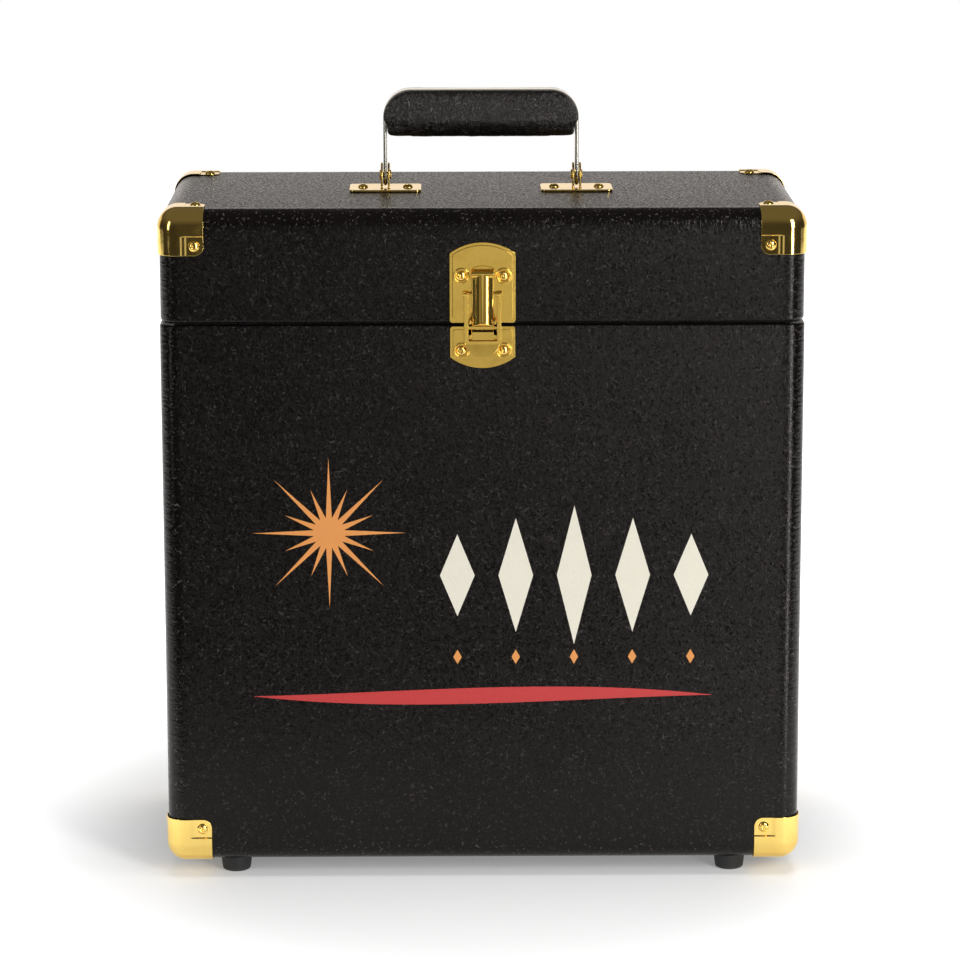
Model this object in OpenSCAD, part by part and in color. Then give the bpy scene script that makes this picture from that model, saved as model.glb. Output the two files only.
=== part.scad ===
// Record carrying case: covered board walls, hinged lid, draw latch, folding handle, brass corner guards.
// Millimetres, +Z up. z = 0 is the floor under the feet, x = y = 0 is the middle of the case,
// and the front, with the latch, faces -Y.

/* [Case] */
// Width of the case over its covering
case_w = 350; // [330:1:420]
// Depth of the case, front to back, over its covering
case_d = 173; // [130:1:240]
// Height of the case without its feet
case_h = 364.4; // [340:0.2:420]
// Height of the lid above the seam
lid_h = 62; // [56:1:90]
// Gap that shows between the lid and the body
seam_gap = 1.3; // [1:0.1:2]
// How much narrower the lid is than the body, on each side
lid_inset = 0.5; // [0:0.1:1]
// Radius of the outer edges
edge_r = 10; // [8.5:0.5:12]

/* [Walls] */
// Thickness of the fibreboard walls of the body
body_board = 7; // [6.5:0.5:9]
// Thickness of the fibreboard walls of the lid
lid_board = 6; // [5.5:0.5:6.5]
// Thickness of the leatherette covering
cover_t = 0.8; // [0.5:0.1:1.2]
// Thickness of the lining panels inside the body
lining_t = 1.2; // [1:0.1:2]
// Height of the lining lip that stands above the rim and centres the lid
lip_h = 8; // [5:0.5:10]
// Thickness of the felt pad on the floor of the body
floor_pad_t = 1.5; // [1:0.5:3]
// Gap that glue and cloth take up between a board and what covers it
glue_gap = 0.05; // [0.03:0.01:0.1]

/* [Feet] */
// Height of the rubber feet
foot_h = 9; // [6:0.5:14]
// Diameter of a foot on the floor
foot_floor_d = 15.4; // [13:0.1:18]
// Diameter of a foot under the case
foot_top_d = 17.8; // [15:0.1:20]
// Distance from the side of the case to the middle of a foot
foot_in_x = 37; // [36:0.5:60]
// Distance from the front or back of the case to the middle of a foot
foot_in_y = 18; // [12:0.5:40]
// Diameter of the screw pocket in a foot
foot_pocket_d = 9; // [8:0.5:11]
// Depth of the screw pocket in a foot
foot_pocket_h = 3.2; // [2.5:0.1:4]

/* [Corner guards] */
// Length of a guard's flanges from the edges of the case
guard_size = 24.5; // [23:0.5:28]
// Thickness of the sheet at the screw pad
guard_sheet = 0.5; // [0.4:0.1:0.8]
// How far the rest of a guard stands above its screw pads
guard_raise = 0.5; // [0.3:0.1:0.8]
// Radius of the free corner of a flange
guard_free_r = 5; // [3:0.5:6]
// Distance from the edges to the screw in a flange
guard_screw_in = 19.3; // [18.6:0.1:19.8]
// Where the screw pad starts on its sloped side, from the edge
guard_pad_slope_from = 15.2; // [14:0.1:15.4]
// Width of the slope that leads down to the screw pad
guard_pad_slope = 3.2; // [1:0.1:4]
// Where the screw pad starts on its stepped side, from the edge
guard_pad_step_from = 14; // [13:0.1:15.4]

/* [Draw latch] */
// Width of the upper plate
latch_w = 35.6; // [34:0.1:42]
// Height of the upper plate to the top of its arc
latch_h = 43.8; // [42:0.1:50]
// Rise of the arcs that close the two plates
latch_arc = 6; // [4:0.1:8]
// Width of the keeper plate
keeper_w = 35.2; // [34:0.1:42]
// Height of the keeper plate to the bottom of its arc
keeper_h = 22.8; // [21:0.1:26]
// Distance from the middle of the seam up to the upper plate
latch_above_seam = 0.8; // [0.7:0.1:1.6]
// Distance from the middle of the seam down to the keeper plate
keeper_below_seam = 1.2; // [0.8:0.1:1.6]
// Thickness of the plates at their rims
plate_rim_t = 0.8; // [0.6:0.1:1]
// How far the middle of a plate stands above its rim
plate_raise = 0.5; // [0.3:0.1:0.6]
// Width of the rim round the raised middle
plate_rim_w = 1.6; // [1:0.1:2]
// Radius of the square corners of a plate
plate_corner_r = 1.6; // [1:0.1:2.5]
// Half the width of the lever
lever_half_w = 6; // [5.5:0.1:6.2]
// Distance from the seam up to the lever's pivot
lever_pivot_up = 1.9; // [1.8:0.1:2.6]
// Distance from the front of the case out to the lever's pivot
lever_pivot_out = 3.7; // [3.6:0.1:4]
// Distance from the lever's pivot up to its curled tip
lever_len = 26; // [24:0.5:28]
// How far the lever's round face stands out from the front of the case
lever_crest_out = 6.2; // [6:0.1:6.6]
// Wall of the lever
lever_wall = 1; // [0.8:0.1:1.2]
// Diameter of the curled tip
lever_tip_d = 3.4; // [3:0.1:4]
// Distance between the lever's pivot and the loop's pivot
loop_pivot_up = 15; // [13:0.1:16]
// Distance from the front of the case out to the loop's pivot
loop_pivot_out = 3; // [2.95:0.05:3.2]
// Diameter of the latch pins
latch_pin_d = 1.8; // [1.6:0.1:2]
// Half the gap between the loop's two rails
loop_half_gap = 7.7; // [7.7:0.1:8.2]
// Width of a rail of the loop
rail_w = 2.4; // [2:0.1:2.8]
// Thickness of the loop's sheet
loop_t = 1.2; // [1:0.1:1.3]
// Distance from the loop's pivot down to its cross bar
loop_len = 26.3; // [25.6:0.1:27]
// Height of the loop's cross bar
bar_h = 1.5; // [1.2:0.1:2]
// Depth of the finger tab below the cross bar
tab_h = 7.4; // [6:0.1:8]
// Outward tilt of the finger tab
tab_tilt = 10; // [5:1:20]
// How far the keeper's ledge stands out from the front of the case
ledge_out = 3.2; // [2.8:0.1:3.4]
// Half the width of the keeper's ledge
ledge_half_w = 5.8; // [4:0.1:6.5]
// Height of the keeper's ledge
ledge_h = 5.4; // [4:0.1:6]

/* [Hinges] */
// Distance from the middle of the case to a hinge
hinge_x = 100; // [60:1:130]
// Width of a hinge
hinge_w = 36; // [30:1:50]
// Height of a hinge leaf from the pin
hinge_leaf_h = 22; // [20:1:28]
// Thickness of a hinge leaf
hinge_t = 1.2; // [1:0.1:1.5]
// Outer radius of the knuckles
knuckle_r = 2.6; // [2.4:0.1:3]
// Diameter of the hinge pin
hinge_pin_d = 2.2; // [1.8:0.1:2.4]
// Length of the stop tongue that holds the open lid
stop_len = 7; // [5:0.5:9]
// How far the lid opens, in degrees
lid_open = 100; // [90:1:110]

/* [Handle] */
// Distance from the middle of the handle to the middle of each leg
handle_half = 53.3; // [48:0.1:60]
// Height of the pivots above the lid
handle_pivot_h = 8.2; // [7.8:0.1:9]
// Height of the top of the handle above its pivots
handle_h = 48; // [46:0.5:56]
// Thickness of the steel band
band_t = 2; // [1.6:0.1:2.2]
// Width of the steel band
band_w = 12; // [10:0.5:13]
// Outer radius of the band's bends
band_r = 15.5; // [13:0.5:18]
// Depth of the padded grip, front to back
grip_d = 25; // [20:0.5:26]
// Height of the padded grip
grip_h = 23.6; // [22:0.1:25]
// Length of a bracket plate
bracket_w = 40; // [36:0.5:46]
// Depth of a bracket plate
bracket_d = 28; // [24:0.5:34]
// Thickness of a bracket plate
bracket_t = 1.3; // [1:0.1:1.6]
// Thickness of a bracket's ears
ear_t = 1.2; // [1:0.1:1.5]
// Radius of the top of an ear
ear_r = 6.8; // [6.2:0.1:7.2]
// Diameter of the handle's rivets
rivet_d = 3; // [2.5:0.1:3.5]

/* [Screws] */
// Diameter of the domed heads on the guards and brackets
dome_head_d = 6; // [5.4:0.1:6.4]
// Height of the domed heads
dome_head_h = 1.7; // [1.4:0.1:2]
// Diameter of the screws' shanks
shank_d = 2.6; // [2.2:0.1:2.8]
// Length of the screws under their heads
shank_len = 6; // [5:0.2:6]
// Diameter of the heads on the latch
latch_head_d = 5.2; // [4.6:0.1:5.4]
// Gap round a screw or a pressed pin
screw_gap = 0.05; // [0.03:0.01:0.1]
// Gap round a pin that turns
running_gap = 0.04; // [0.02:0.01:0.08]

/* [Hidden] */
$fn = 72;

LEFT = -1;
RIGHT = 1;
FRONT = -1;
REAR = 1;

// A screw's head points this way: each value turns +Z to that side
FACE_FRONT = [90, 0, 0];
FACE_REAR = [-90, 0, 0];
FACE_LEFT = [0, -90, 0];
FACE_RIGHT = [0, 90, 0];
FACE_UP = [0, 0, 0];
FACE_DOWN = [180, 0, 0];

over = 1;              // how far a cut runs past what it cuts
free_gap = 0.3;        // gap between pieces that pass each other
ink = [0.10, 0.09, 0.09];
inner_black = [0.16, 0.15, 0.16];
fibre = [0.55, 0.42, 0.28];
gold = [0.86, 0.66, 0.24];
rubber_black = [0.06, 0.06, 0.06];

case_z = foot_h;                            // underside of the case
case_top = case_z + case_h;                 // top of the lid
seam_z = case_top - lid_h;                  // middle of the seam
body_rim_z = seam_z - seam_gap / 2;
lid_rim_z = seam_z + seam_gap / 2;
lid_w = case_w - 2 * lid_inset;

board_out = cover_t + glue_gap;             // from the outer face in to a board
body_in_w = case_w - 2 * (board_out + body_board);   // between the body's side boards
body_in_d = case_d - 2 * (board_out + body_board);
lid_in_w = lid_w - 2 * (board_out + lid_board);
lid_in_d = case_d - 2 * (board_out + lid_board);
body_floor_z = case_z + board_out + body_board;
lid_ceiling_z = case_top - board_out - lid_board;
floor_pad_z = body_floor_z + glue_gap + floor_pad_t;  // top of the floor pad
lining_low_z = floor_pad_z + glue_gap;
lining_top_z = body_rim_z + lip_h;
lining_out_w = body_in_w - 2 * glue_gap;
lining_out_d = body_in_d - 2 * glue_gap;

guard_pad_out = glue_gap + guard_sheet;     // from the case out to a screw pad's face
guard_out = guard_pad_out + guard_raise;    // from the case out to the rest of a guard

front_y = -case_d / 2;                      // front face of the case
plate_out = glue_gap + plate_rim_t + plate_raise;    // from the front out to a latch plate's face
latch_z = seam_z + latch_above_seam;        // straight edge of the upper plate
keeper_z = seam_z - keeper_below_seam;      // straight edge of the keeper
ring_room = 0.2;                            // between a screw's head and the raised ring round it
ring_w = 1.5;                               // width of a ring
ring_d = latch_head_d + 2 * (ring_room + ring_w);
ring_h = 0.4;
latch_screw_x = 11.4;
latch_screw_up = 25.7;                      // from the upper plate's straight edge
keeper_screw_down = 13;                     // from the keeper's straight edge
latch_head_h = 1.4;

lever_z = seam_z + lever_pivot_up;
lever_y = front_y - lever_pivot_out;
lever_tip_z = lever_z + lever_len;
pin_hole_d = latch_pin_d + 2 * running_gap;
lug_in = lever_half_w + free_gap;           // inner face of a lug of the upper plate
lug_t = 1;
lug_wall = 0.8;
lug_r = latch_pin_d / 2 + lug_wall;
lever_back_out = plate_out + free_gap;      // from the front out to the lever's open back
lever_sag = 2.6;                            // how much the lever's round face falls to its sides
lever_foot_r = lever_crest_out - lever_pivot_out;    // the lever's rounded lower end, about its pivot
notch_h = 4.6;                              // cut in the upper plate behind the lever's lower end
pocket_up = 4;                              // top of the finger pocket, from the lever's tip
pocket_down = 3;                            // bottom of the finger pocket, from the lever's tip
pocket_arc_r = 12;

loop_z = lever_z + loop_pivot_up;
loop_y = front_y - loop_pivot_out;
eye_wall = 0.4;
eye_r = latch_pin_d / 2 + eye_wall;         // eye at the top of a rail
rail_out = loop_half_gap + rail_w;          // outer face of a rail
pin_head_t = 0.5;
pin_head_r = eye_r - 0.1;
tab_step_in = 0.8;                          // how much narrower the tab is than the rails, on each side
tab_half_w = rail_out - tab_step_in;
// The loop rests just in front of the keeper's ledge: this tilt carries its bar past the ledge's tip,
// and turned back to plumb, its bar is hooked under the ledge
loop_clear = 0.4;
loop_tilt = asin((ledge_out + loop_clear + loop_t / 2 - loop_pivot_out) / loop_len);
ledge_z = loop_z - loop_len + bar_h / 2 + free_gap;  // underside of the keeper's ledge
ledge_bevel = 1;

hinge_y = case_d / 2 + glue_gap + knuckle_r;
hinge_hole_d = hinge_pin_d + 2 * running_gap;
knuckle_half = hinge_w / 4;                 // half the length of the lid's middle knuckle
knuckle_side_gap = 0.2;                     // between neighbouring knuckles
hinge_screw_spots = [[-12, 9.5], [12, 9.5], [0, 16]];
hinge_head_d = shank_d + 2 * hinge_t;       // flush heads, countersunk through the leaf
hinge_slot_w = 0.7;
slot_share = 0.6;                           // length of a screw's slots, as a share of its head
stop_gap = 0.2;                             // between the stop tongue and the body's leaf, lid fully open

pivot_z = case_top + handle_pivot_h;
handle_top_z = pivot_z + handle_h;
leg_in = handle_half - band_t / 2;          // inner face of a leg
leg_out = handle_half + band_t / 2;
ear_gap = 0.35;                             // between a leg and an ear
ear_in = band_t / 2 + ear_gap;
rivet_hole_d = rivet_d + 2 * running_gap;
rivet_head_d = 5.4;
rivet_head_t = 0.7;
grip_gap = 0.1;                             // glue between the grip and the band
grip_top_z = handle_top_z - band_t - grip_gap;
grip_low_z = grip_top_z - grip_h;
grip_end_r = 2;                             // lower corners of the grip's ends
grip_top_r = 5.7;
grip_side_r = 6;
grip_under_r = 4.2;
grip_draw_in = 1.6;                         // how much narrower the grip is underneath, on each side
grip_full_at = 0.47;                        // where the grip is fullest, as a share of its height
grip_shoulder = 0.5;                        // from the band's edge out to the middle of the grip's top rounds
bracket_screw_x = 12.5;
bracket_corner_r = 3;
foot_screw_bite = 0.7;                      // how far the foot's screw goes into the board, as a share of it
foot_screw_len = foot_h - foot_pocket_h + board_out + body_board * foot_screw_bite;
foot_head_h = 2;
foot_head_d = 7;
foot_shank_d = 3.2;

// ---------- shapes ----------

module block(w, d, z0, z1)
    translate([-w / 2, -d / 2, z0])
        cube([w, d, z1 - z0]);

// A box from z = 0 up, with its lower edges, its lower corners and its upright edges rounded
module round_bottomed_box(w, d, h, r) {
    block(w, d - 2 * r, r, h);
    block(w - 2 * r, d, r, h);
    block(w - 2 * r, d - 2 * r, 0, h);
    for (x = [r - w / 2, w / 2 - r], y = [r - d / 2, d / 2 - r])
        translate([x, y, r]) {
            cylinder(r = r, h = h - r);
            sphere(r = r);
        }
    for (y = [r - d / 2, d / 2 - r])
        translate([r - w / 2, y, r])
            rotate([0, 90, 0])
                cylinder(r = r, h = w - 2 * r);
    for (x = [r - w / 2, w / 2 - r])
        translate([x, d / 2 - r, r])
            rotate([90, 0, 0])
                cylinder(r = r, h = d - 2 * r);
}

// One rounded corner of a box: its faces lie on the planes x = 0, y = 0 and z = 0
module rounded_corner(size, r) {
    for (turn = [0:2])
        rotate(a = 120 * turn, v = [1, 1, 1]) {
            translate([r, r, 0])
                cube([size - r, size - r, size]);
            translate([r, r, r])
                cylinder(r = r, h = size - r);
        }
    translate([r, r, r])
        sphere(r = r);
}

// The body as one solid, this much inside its outer faces, up to a height
module body_form(inset, top)
    translate([0, 0, case_z + inset])
        round_bottomed_box(case_w - 2 * inset, case_d - 2 * inset, top - case_z - inset, edge_r - inset);

// The lid as one solid, this much inside its outer faces, down to a height
module lid_form(inset, bottom)
    translate([0, 0, case_top - inset])
        mirror([0, 0, 1])
            round_bottomed_box(lid_w - 2 * inset, case_d - 2 * inset,
                case_top - inset - bottom, edge_r - inset);

module rounded_rectangle(w, h, r) {
    square([w - 2 * r, h], center = true);
    square([w, h - 2 * r], center = true);
    for (x = [r - w / 2, w / 2 - r], y = [r - h / 2, h / 2 - r])
        translate([x, y])
            circle(r = r);
}

// Stands a drawing in X and Z up in front of a wall, from one distance out to another
module stand(wall, from, to)
    translate([0, wall - from, 0])
        rotate([90, 0, 0])
            linear_extrude(to - from)
                children();

// A rod along X, centred
module rod(d, half)
    translate([-half, 0, 0])
        rotate([0, 90, 0])
            cylinder(d = d, h = 2 * half);

// ---------- screws ----------

// Each spot is the place of a head's seat and the way the head faces
module at_each(spots)
    for (spot = spots)
        translate(spot[0])
            rotate(spot[1])
                children();

module domed_screw(head_d, head_h, shank, length) {
    ball_r = (head_d * head_d / 4 + head_h * head_h) / (2 * head_h);
    slot_w = head_d / 7;
    slot_len = head_d * slot_share;
    difference() {
        intersection() {
            translate([0, 0, head_h - ball_r])
                sphere(r = ball_r);
            cylinder(d = head_d + over, h = head_h + over);
        }
        for (turn = [0, 90])
            rotate([0, 0, turn])
                translate([-slot_len / 2, -slot_w / 2, head_h / 2])
                    cube([slot_len, slot_w, head_h]);
    }
    translate([0, 0, -length])
        cylinder(d = shank, h = length);
}

module screw_hole(shank, length)
    translate([0, 0, -length - screw_gap])
        cylinder(d = shank + 2 * screw_gap, h = length + screw_gap + over);

// The three screws of a guard, for a corner of a w by d box whose end face is at z and faces up or down
function guard_spots(x, y, z, up, w, d) = [
    [[x * (w / 2 - guard_screw_in), y * (d / 2 + guard_pad_out), z - up * guard_screw_in],
        y == FRONT ? FACE_FRONT : FACE_REAR],
    [[x * (w / 2 + guard_pad_out), y * (d / 2 - guard_screw_in), z - up * guard_screw_in],
        x == LEFT ? FACE_LEFT : FACE_RIGHT],
    [[x * (w / 2 - guard_screw_in), y * (d / 2 - guard_screw_in), z + up * guard_pad_out],
        up > 0 ? FACE_UP : FACE_DOWN]
];

bottom_guard_spots = [for (x = [LEFT, RIGHT], y = [FRONT, REAR])
    each guard_spots(x, y, case_z, -1, case_w, case_d)];
top_guard_spots = [for (x = [LEFT, RIGHT], y = [FRONT, REAR])
    each guard_spots(x, y, case_top, 1, lid_w, case_d)];
keeper_spots = [for (x = [-latch_screw_x, latch_screw_x])
    [[x, front_y - plate_out, keeper_z - keeper_screw_down], FACE_FRONT]];
latch_spots = [for (x = [-latch_screw_x, latch_screw_x])
    [[x, front_y - plate_out, latch_z + latch_screw_up], FACE_FRONT]];
hinge_body_spots = [for (side = [LEFT, RIGHT], spot = hinge_screw_spots)
    [[side * hinge_x + spot[0], case_d / 2 + glue_gap + hinge_t, seam_z - spot[1]], FACE_REAR]];
hinge_lid_spots = [for (side = [LEFT, RIGHT], spot = hinge_screw_spots)
    [[side * hinge_x + spot[0], case_d / 2 + glue_gap + hinge_t, seam_z + spot[1]], FACE_REAR]];
bracket_spots = [for (side = [LEFT, RIGHT], x = [-bracket_screw_x, bracket_screw_x])
    [[side * handle_half + x, 0, case_top + glue_gap + bracket_t], FACE_UP]];
foot_spots = [for (x = [LEFT, RIGHT], y = [FRONT, REAR])
    [[x * (case_w / 2 - foot_in_x), y * (case_d / 2 - foot_in_y), foot_pocket_h], FACE_DOWN]];

module body_screw_holes() {
    at_each(concat(bottom_guard_spots, keeper_spots, hinge_body_spots))
        screw_hole(shank_d, shank_len);
    at_each(foot_spots)
        screw_hole(foot_shank_d, foot_screw_len);
}

module lid_screw_holes()
    at_each(concat(top_guard_spots, latch_spots, hinge_lid_spots, bracket_spots))
        screw_hole(shank_d, shank_len);

// ---------- body ----------

module body_covering()
    color(ink)
        difference() {
            body_form(0, body_rim_z);
            body_form(cover_t, body_rim_z - cover_t);
            block(body_in_w, body_in_d, body_rim_z - 2 * cover_t, body_rim_z + over);
            body_screw_holes();
        }

// A board of the body is the part of the board form that its slab holds
module body_board_in(x0, x1, y0, y1, z1)
    color(fibre)
        difference() {
            intersection() {
                body_form(board_out, body_rim_z - board_out);
                translate([x0, y0, 0])
                    cube([x1 - x0, y1 - y0, z1]);
            }
            body_screw_holes();
        }

module body_wall_board(y)
    body_board_in(-case_w / 2, case_w / 2,
        y == FRONT ? -case_d / 2 : body_in_d / 2, y == FRONT ? -body_in_d / 2 : case_d / 2, seam_z);

module body_side_board(x)
    body_board_in(x == LEFT ? -case_w / 2 : body_in_w / 2, x == LEFT ? -body_in_w / 2 : case_w / 2,
        -body_in_d / 2, body_in_d / 2, seam_z);

module body_bottom_board()
    body_board_in(-body_in_w / 2, body_in_w / 2, -body_in_d / 2, body_in_d / 2, body_floor_z);

module body_floor_pad()
    color(inner_black)
        block(lining_out_w, lining_out_d, body_floor_z + glue_gap, floor_pad_z);

module body_lining_wall(y)
    color(inner_black)
        translate([0, y * (lining_out_d - lining_t) / 2, 0])
            block(lining_out_w, lining_t, lining_low_z, lining_top_z);

module body_lining_side(x)
    color(inner_black)
        translate([x * (lining_out_w - lining_t) / 2, 0, 0])
            block(lining_t, lining_out_d - 2 * lining_t, lining_low_z, lining_top_z);

module foot(x, y)
    color(rubber_black)
        translate([x * (case_w / 2 - foot_in_x), y * (case_d / 2 - foot_in_y), 0])
            difference() {
                cylinder(d1 = foot_floor_d, d2 = foot_top_d, h = foot_h);
                translate([0, 0, -over])
                    cylinder(d = foot_pocket_d, h = foot_pocket_h + over);
                cylinder(d = foot_shank_d + 2 * screw_gap, h = foot_h + over);
            }

module foot_screws()
    color(gold)
        at_each(foot_spots)
            domed_screw(foot_head_d, foot_head_h, foot_shank_d, foot_screw_len);

// ---------- corner guards ----------

// A guard for the corner whose faces are the planes x = 0, y = 0 and z = 0
module guard_at_origin() {
    reach = guard_size + guard_free_r;
    difference() {
        intersection() {
            translate(-guard_out * [1, 1, 1])
                rounded_corner(reach, edge_r + guard_out);
            translate(-guard_out * [1, 1, 1])
                cube(guard_size + guard_out);
        }
        translate(-glue_gap * [1, 1, 1])
            rounded_corner(reach + over, edge_r + glue_gap);
        for (turn = [0:2])
            rotate(a = 120 * turn, v = [1, 1, 1])
                guard_flange_cuts();
    }
}

// What is cut from the flange on z = 0: its free corner's round, its screw pad and its screw hole
module guard_flange_cuts() {
    round_at = guard_size - guard_free_r;
    translate([round_at, round_at, -guard_out - over])
        difference() {
            cube([guard_free_r + over, guard_free_r + over, guard_out + over]);
            cylinder(r = guard_free_r, h = guard_out + over);
        }
    translate([guard_pad_step_from, 0, 0])
        rotate([90, 0, 90])
            linear_extrude(guard_size)
                polygon([
                    [guard_pad_slope_from, -guard_pad_out],
                    [guard_size + over, -guard_pad_out],
                    [guard_size + over, -guard_out - over],
                    [guard_pad_slope_from - guard_pad_slope, -guard_out - over],
                    [guard_pad_slope_from - guard_pad_slope, -guard_out]
                ]);
    translate([guard_screw_in, guard_screw_in, -guard_out - over])
        cylinder(d = shank_d + 2 * screw_gap, h = guard_out + over);
}

module flip_to(x, y, up)
    mirror([x == RIGHT ? 1 : 0, 0, 0])
        mirror([0, y == REAR ? 1 : 0, 0])
            mirror([0, 0, up > 0 ? 1 : 0])
                children();

module bottom_guard(x, y)
    color(gold)
        translate([x * case_w / 2, y * case_d / 2, case_z])
            flip_to(x, y, -1)
                guard_at_origin();

module top_guard(x, y)
    color(gold)
        translate([x * lid_w / 2, y * case_d / 2, case_top])
            flip_to(x, y, 1)
                guard_at_origin();

module guard_screws(spots)
    color(gold)
        at_each(spots)
            domed_screw(dome_head_d, dome_head_h, shank_d, shank_len);

// ---------- lid ----------

module lid_covering()
    color(ink)
        difference() {
            lid_form(0, lid_rim_z);
            lid_form(cover_t, lid_rim_z + cover_t);
            block(lid_in_w, lid_in_d, lid_rim_z - over, lid_rim_z + 2 * cover_t);
            lid_screw_holes();
        }

module lid_board_in(x0, x1, y0, y1, z0, z1)
    color(fibre)
        difference() {
            intersection() {
                lid_form(board_out, lid_rim_z + board_out);
                translate([x0, y0, z0])
                    cube([x1 - x0, y1 - y0, z1 - z0]);
            }
            lid_screw_holes();
        }

module lid_top_board()
    lid_board_in(-case_w / 2, case_w / 2, -case_d / 2, case_d / 2, lid_ceiling_z, case_top);

module lid_wall_board(y)
    lid_board_in(-case_w / 2, case_w / 2, y == FRONT ? -case_d / 2 : lid_in_d / 2,
        y == FRONT ? -lid_in_d / 2 : case_d / 2, seam_z, lid_ceiling_z);

module lid_side_board(x)
    lid_board_in(x == LEFT ? -case_w / 2 : lid_in_w / 2, x == LEFT ? -lid_in_w / 2 : case_w / 2,
        -lid_in_d / 2, lid_in_d / 2, seam_z, lid_ceiling_z);

// ---------- draw latch ----------

// Radius of an arc that rises this much over a chord of width w
function arc_radius(w, rise) = (w * w / 4 + rise * rise) / (2 * rise);

// A plate with one straight edge on y = 0 and an arc at its far end
module arched_plate(w, h, arc_r)
    intersection() {
        translate([0, h / 2 + plate_corner_r])
            rounded_rectangle(w, h + 2 * plate_corner_r, plate_corner_r);
        translate([0, h - arc_r])
            circle(r = arc_r);
    }

// A latch plate on the plane y = 0, standing on z = 0
module latch_plate(w, h) {
    arc_r = arc_radius(w, latch_arc);
    stand(0, glue_gap, glue_gap + plate_rim_t)
        arched_plate(w, h, arc_r);
    stand(0, glue_gap, plate_out)
        translate([0, plate_rim_w])
            arched_plate(w - 2 * plate_rim_w, h - 2 * plate_rim_w, arc_r - plate_rim_w);
}

module screw_ring()
    difference() {
        cylinder(d = ring_d, h = ring_h);
        translate([0, 0, -over])
            cylinder(d = latch_head_d + 2 * ring_room, h = ring_h + 2 * over);
    }

module latch_screws(spots)
    color(gold)
        at_each(spots)
            domed_screw(latch_head_d, latch_head_h, shank_d, shank_len);

module latch_base_plate()
    color(gold)
        difference() {
            union() {
                difference() {
                    translate([0, front_y, latch_z])
                        latch_plate(latch_w, latch_h);
                    // notch behind the lever's lower end
                    translate([-lug_in, front_y - plate_out - over, latch_z - over])
                        cube([2 * lug_in, plate_out + over, notch_h + over]);
                    finger_pocket();
                }
                for (side = [LEFT, RIGHT])
                    latch_lug(side);
                at_each(latch_spots)
                    screw_ring();
            }
            at_each(latch_spots)
                screw_hole(shank_d, shank_len);
            translate([0, lever_y, lever_z])
                rod(latch_pin_d + 2 * screw_gap, lug_in + lug_t + over);
        }

// A dip in the upper plate round the lever's tip, with an arched top, where a finger gets behind it
module finger_pocket()
    translate([0, 0, lever_tip_z])
        stand(front_y, glue_gap + plate_rim_t, plate_out + over)
            intersection() {
                translate([-lever_half_w, -pocket_down])
                    square([2 * lever_half_w, pocket_down + pocket_up]);
                translate([0, pocket_up - pocket_arc_r])
                    circle(r = pocket_arc_r);
            }

// One of the two lugs that hold the lever's pin
module latch_lug(side)
    translate([side * (lug_in + lug_t / 2), lever_y, 0]) {
        translate([0, 0, lever_z])
            rod(2 * lug_r, lug_t / 2);
        translate([-lug_t / 2, 0, latch_z])
            cube([lug_t, lever_pivot_out - glue_gap, lever_z + lug_r - latch_z]);
    }

module latch_lever_pin()
    color(gold)
        translate([0, lever_y, lever_z])
            rod(latch_pin_d, lug_in + lug_t);

// The lever's section, seen from above, from its open back out to its round face
module lever_section(wall, from) {
    curve_r = arc_radius(2 * lever_half_w, lever_sag);
    intersection() {
        translate([0, lever_crest_out - curve_r])
            circle(r = curve_r - wall);
        translate([wall - lever_half_w, from])
            square([2 * (lever_half_w - wall), lever_crest_out]);
    }
}

// Stands the lever's section up in front of the case, between two heights
module lever_bar(wall, from, z0, z1)
    translate([0, front_y, z0])
        mirror([0, 1, 0])
            linear_extrude(z1 - z0)
                lever_section(wall, from);

module latch_lever()
    color(gold)
        difference() {
            union() {
                intersection() {
                    lever_bar(0, lever_back_out, lever_z - lever_foot_r, lever_tip_z);
                    union() {
                        translate([0, lever_y, lever_z])
                            rod(2 * lever_foot_r, lever_half_w);
                        translate([-lever_half_w, front_y - lever_crest_out - over, lever_z])
                            cube([2 * lever_half_w, lever_crest_out + over, lever_len]);
                    }
                }
                translate([0, front_y - lever_crest_out + lever_tip_d / 2, lever_tip_z])
                    rod(lever_tip_d, lever_half_w);
            }
            // hollow behind the face, open at the back
            lever_bar(lever_wall, 0, lever_z + lever_foot_r, lever_tip_z - lever_tip_d);
            translate([0, lever_y, lever_z])
                rod(pin_hole_d, lever_half_w + over);
            translate([0, loop_y, loop_z])
                rod(pin_hole_d, lever_half_w + over);
        }

module latch_loop_pin()
    color(gold)
        translate([0, loop_y, loop_z]) {
            rod(latch_pin_d, rail_out + running_gap);
            for (side = [LEFT, RIGHT])
                translate([side * (rail_out + running_gap + pin_head_t / 2), 0, 0])
                    rod(2 * pin_head_r, pin_head_t / 2);
        }

// The loop, drawn with its pivot at the origin and hanging plumb
module loop_at_origin() {
    bar_low = -loop_len - bar_h / 2;
    tab_r = arc_radius(2 * tab_half_w, tab_h);
    for (side = [LEFT, RIGHT])
        translate([side * (loop_half_gap + rail_w / 2), 0, 0]) {
            rod(2 * eye_r, rail_w / 2);
            translate([-rail_w / 2, -loop_t / 2, bar_low])
                cube([rail_w, loop_t, -bar_low]);
        }
    translate([-rail_out, -loop_t / 2, bar_low])
        cube([2 * rail_out, loop_t, bar_h]);
    // finger tab
    translate([0, 0, bar_low])
        rotate([-tab_tilt, 0, 0])
            stand(loop_t / 2, 0, loop_t)
                intersection() {
                    translate([-tab_half_w, -tab_h])
                        square([2 * tab_half_w, tab_h + bar_h / 2]);
                    translate([0, tab_r - tab_h])
                        circle(r = tab_r);
                }
}

module latch_loop()
    color(gold)
        translate([0, loop_y, loop_z])
            rotate([-loop_tilt, 0, 0])
                difference() {
                    loop_at_origin();
                    rod(pin_hole_d, rail_out + over);
                }

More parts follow.
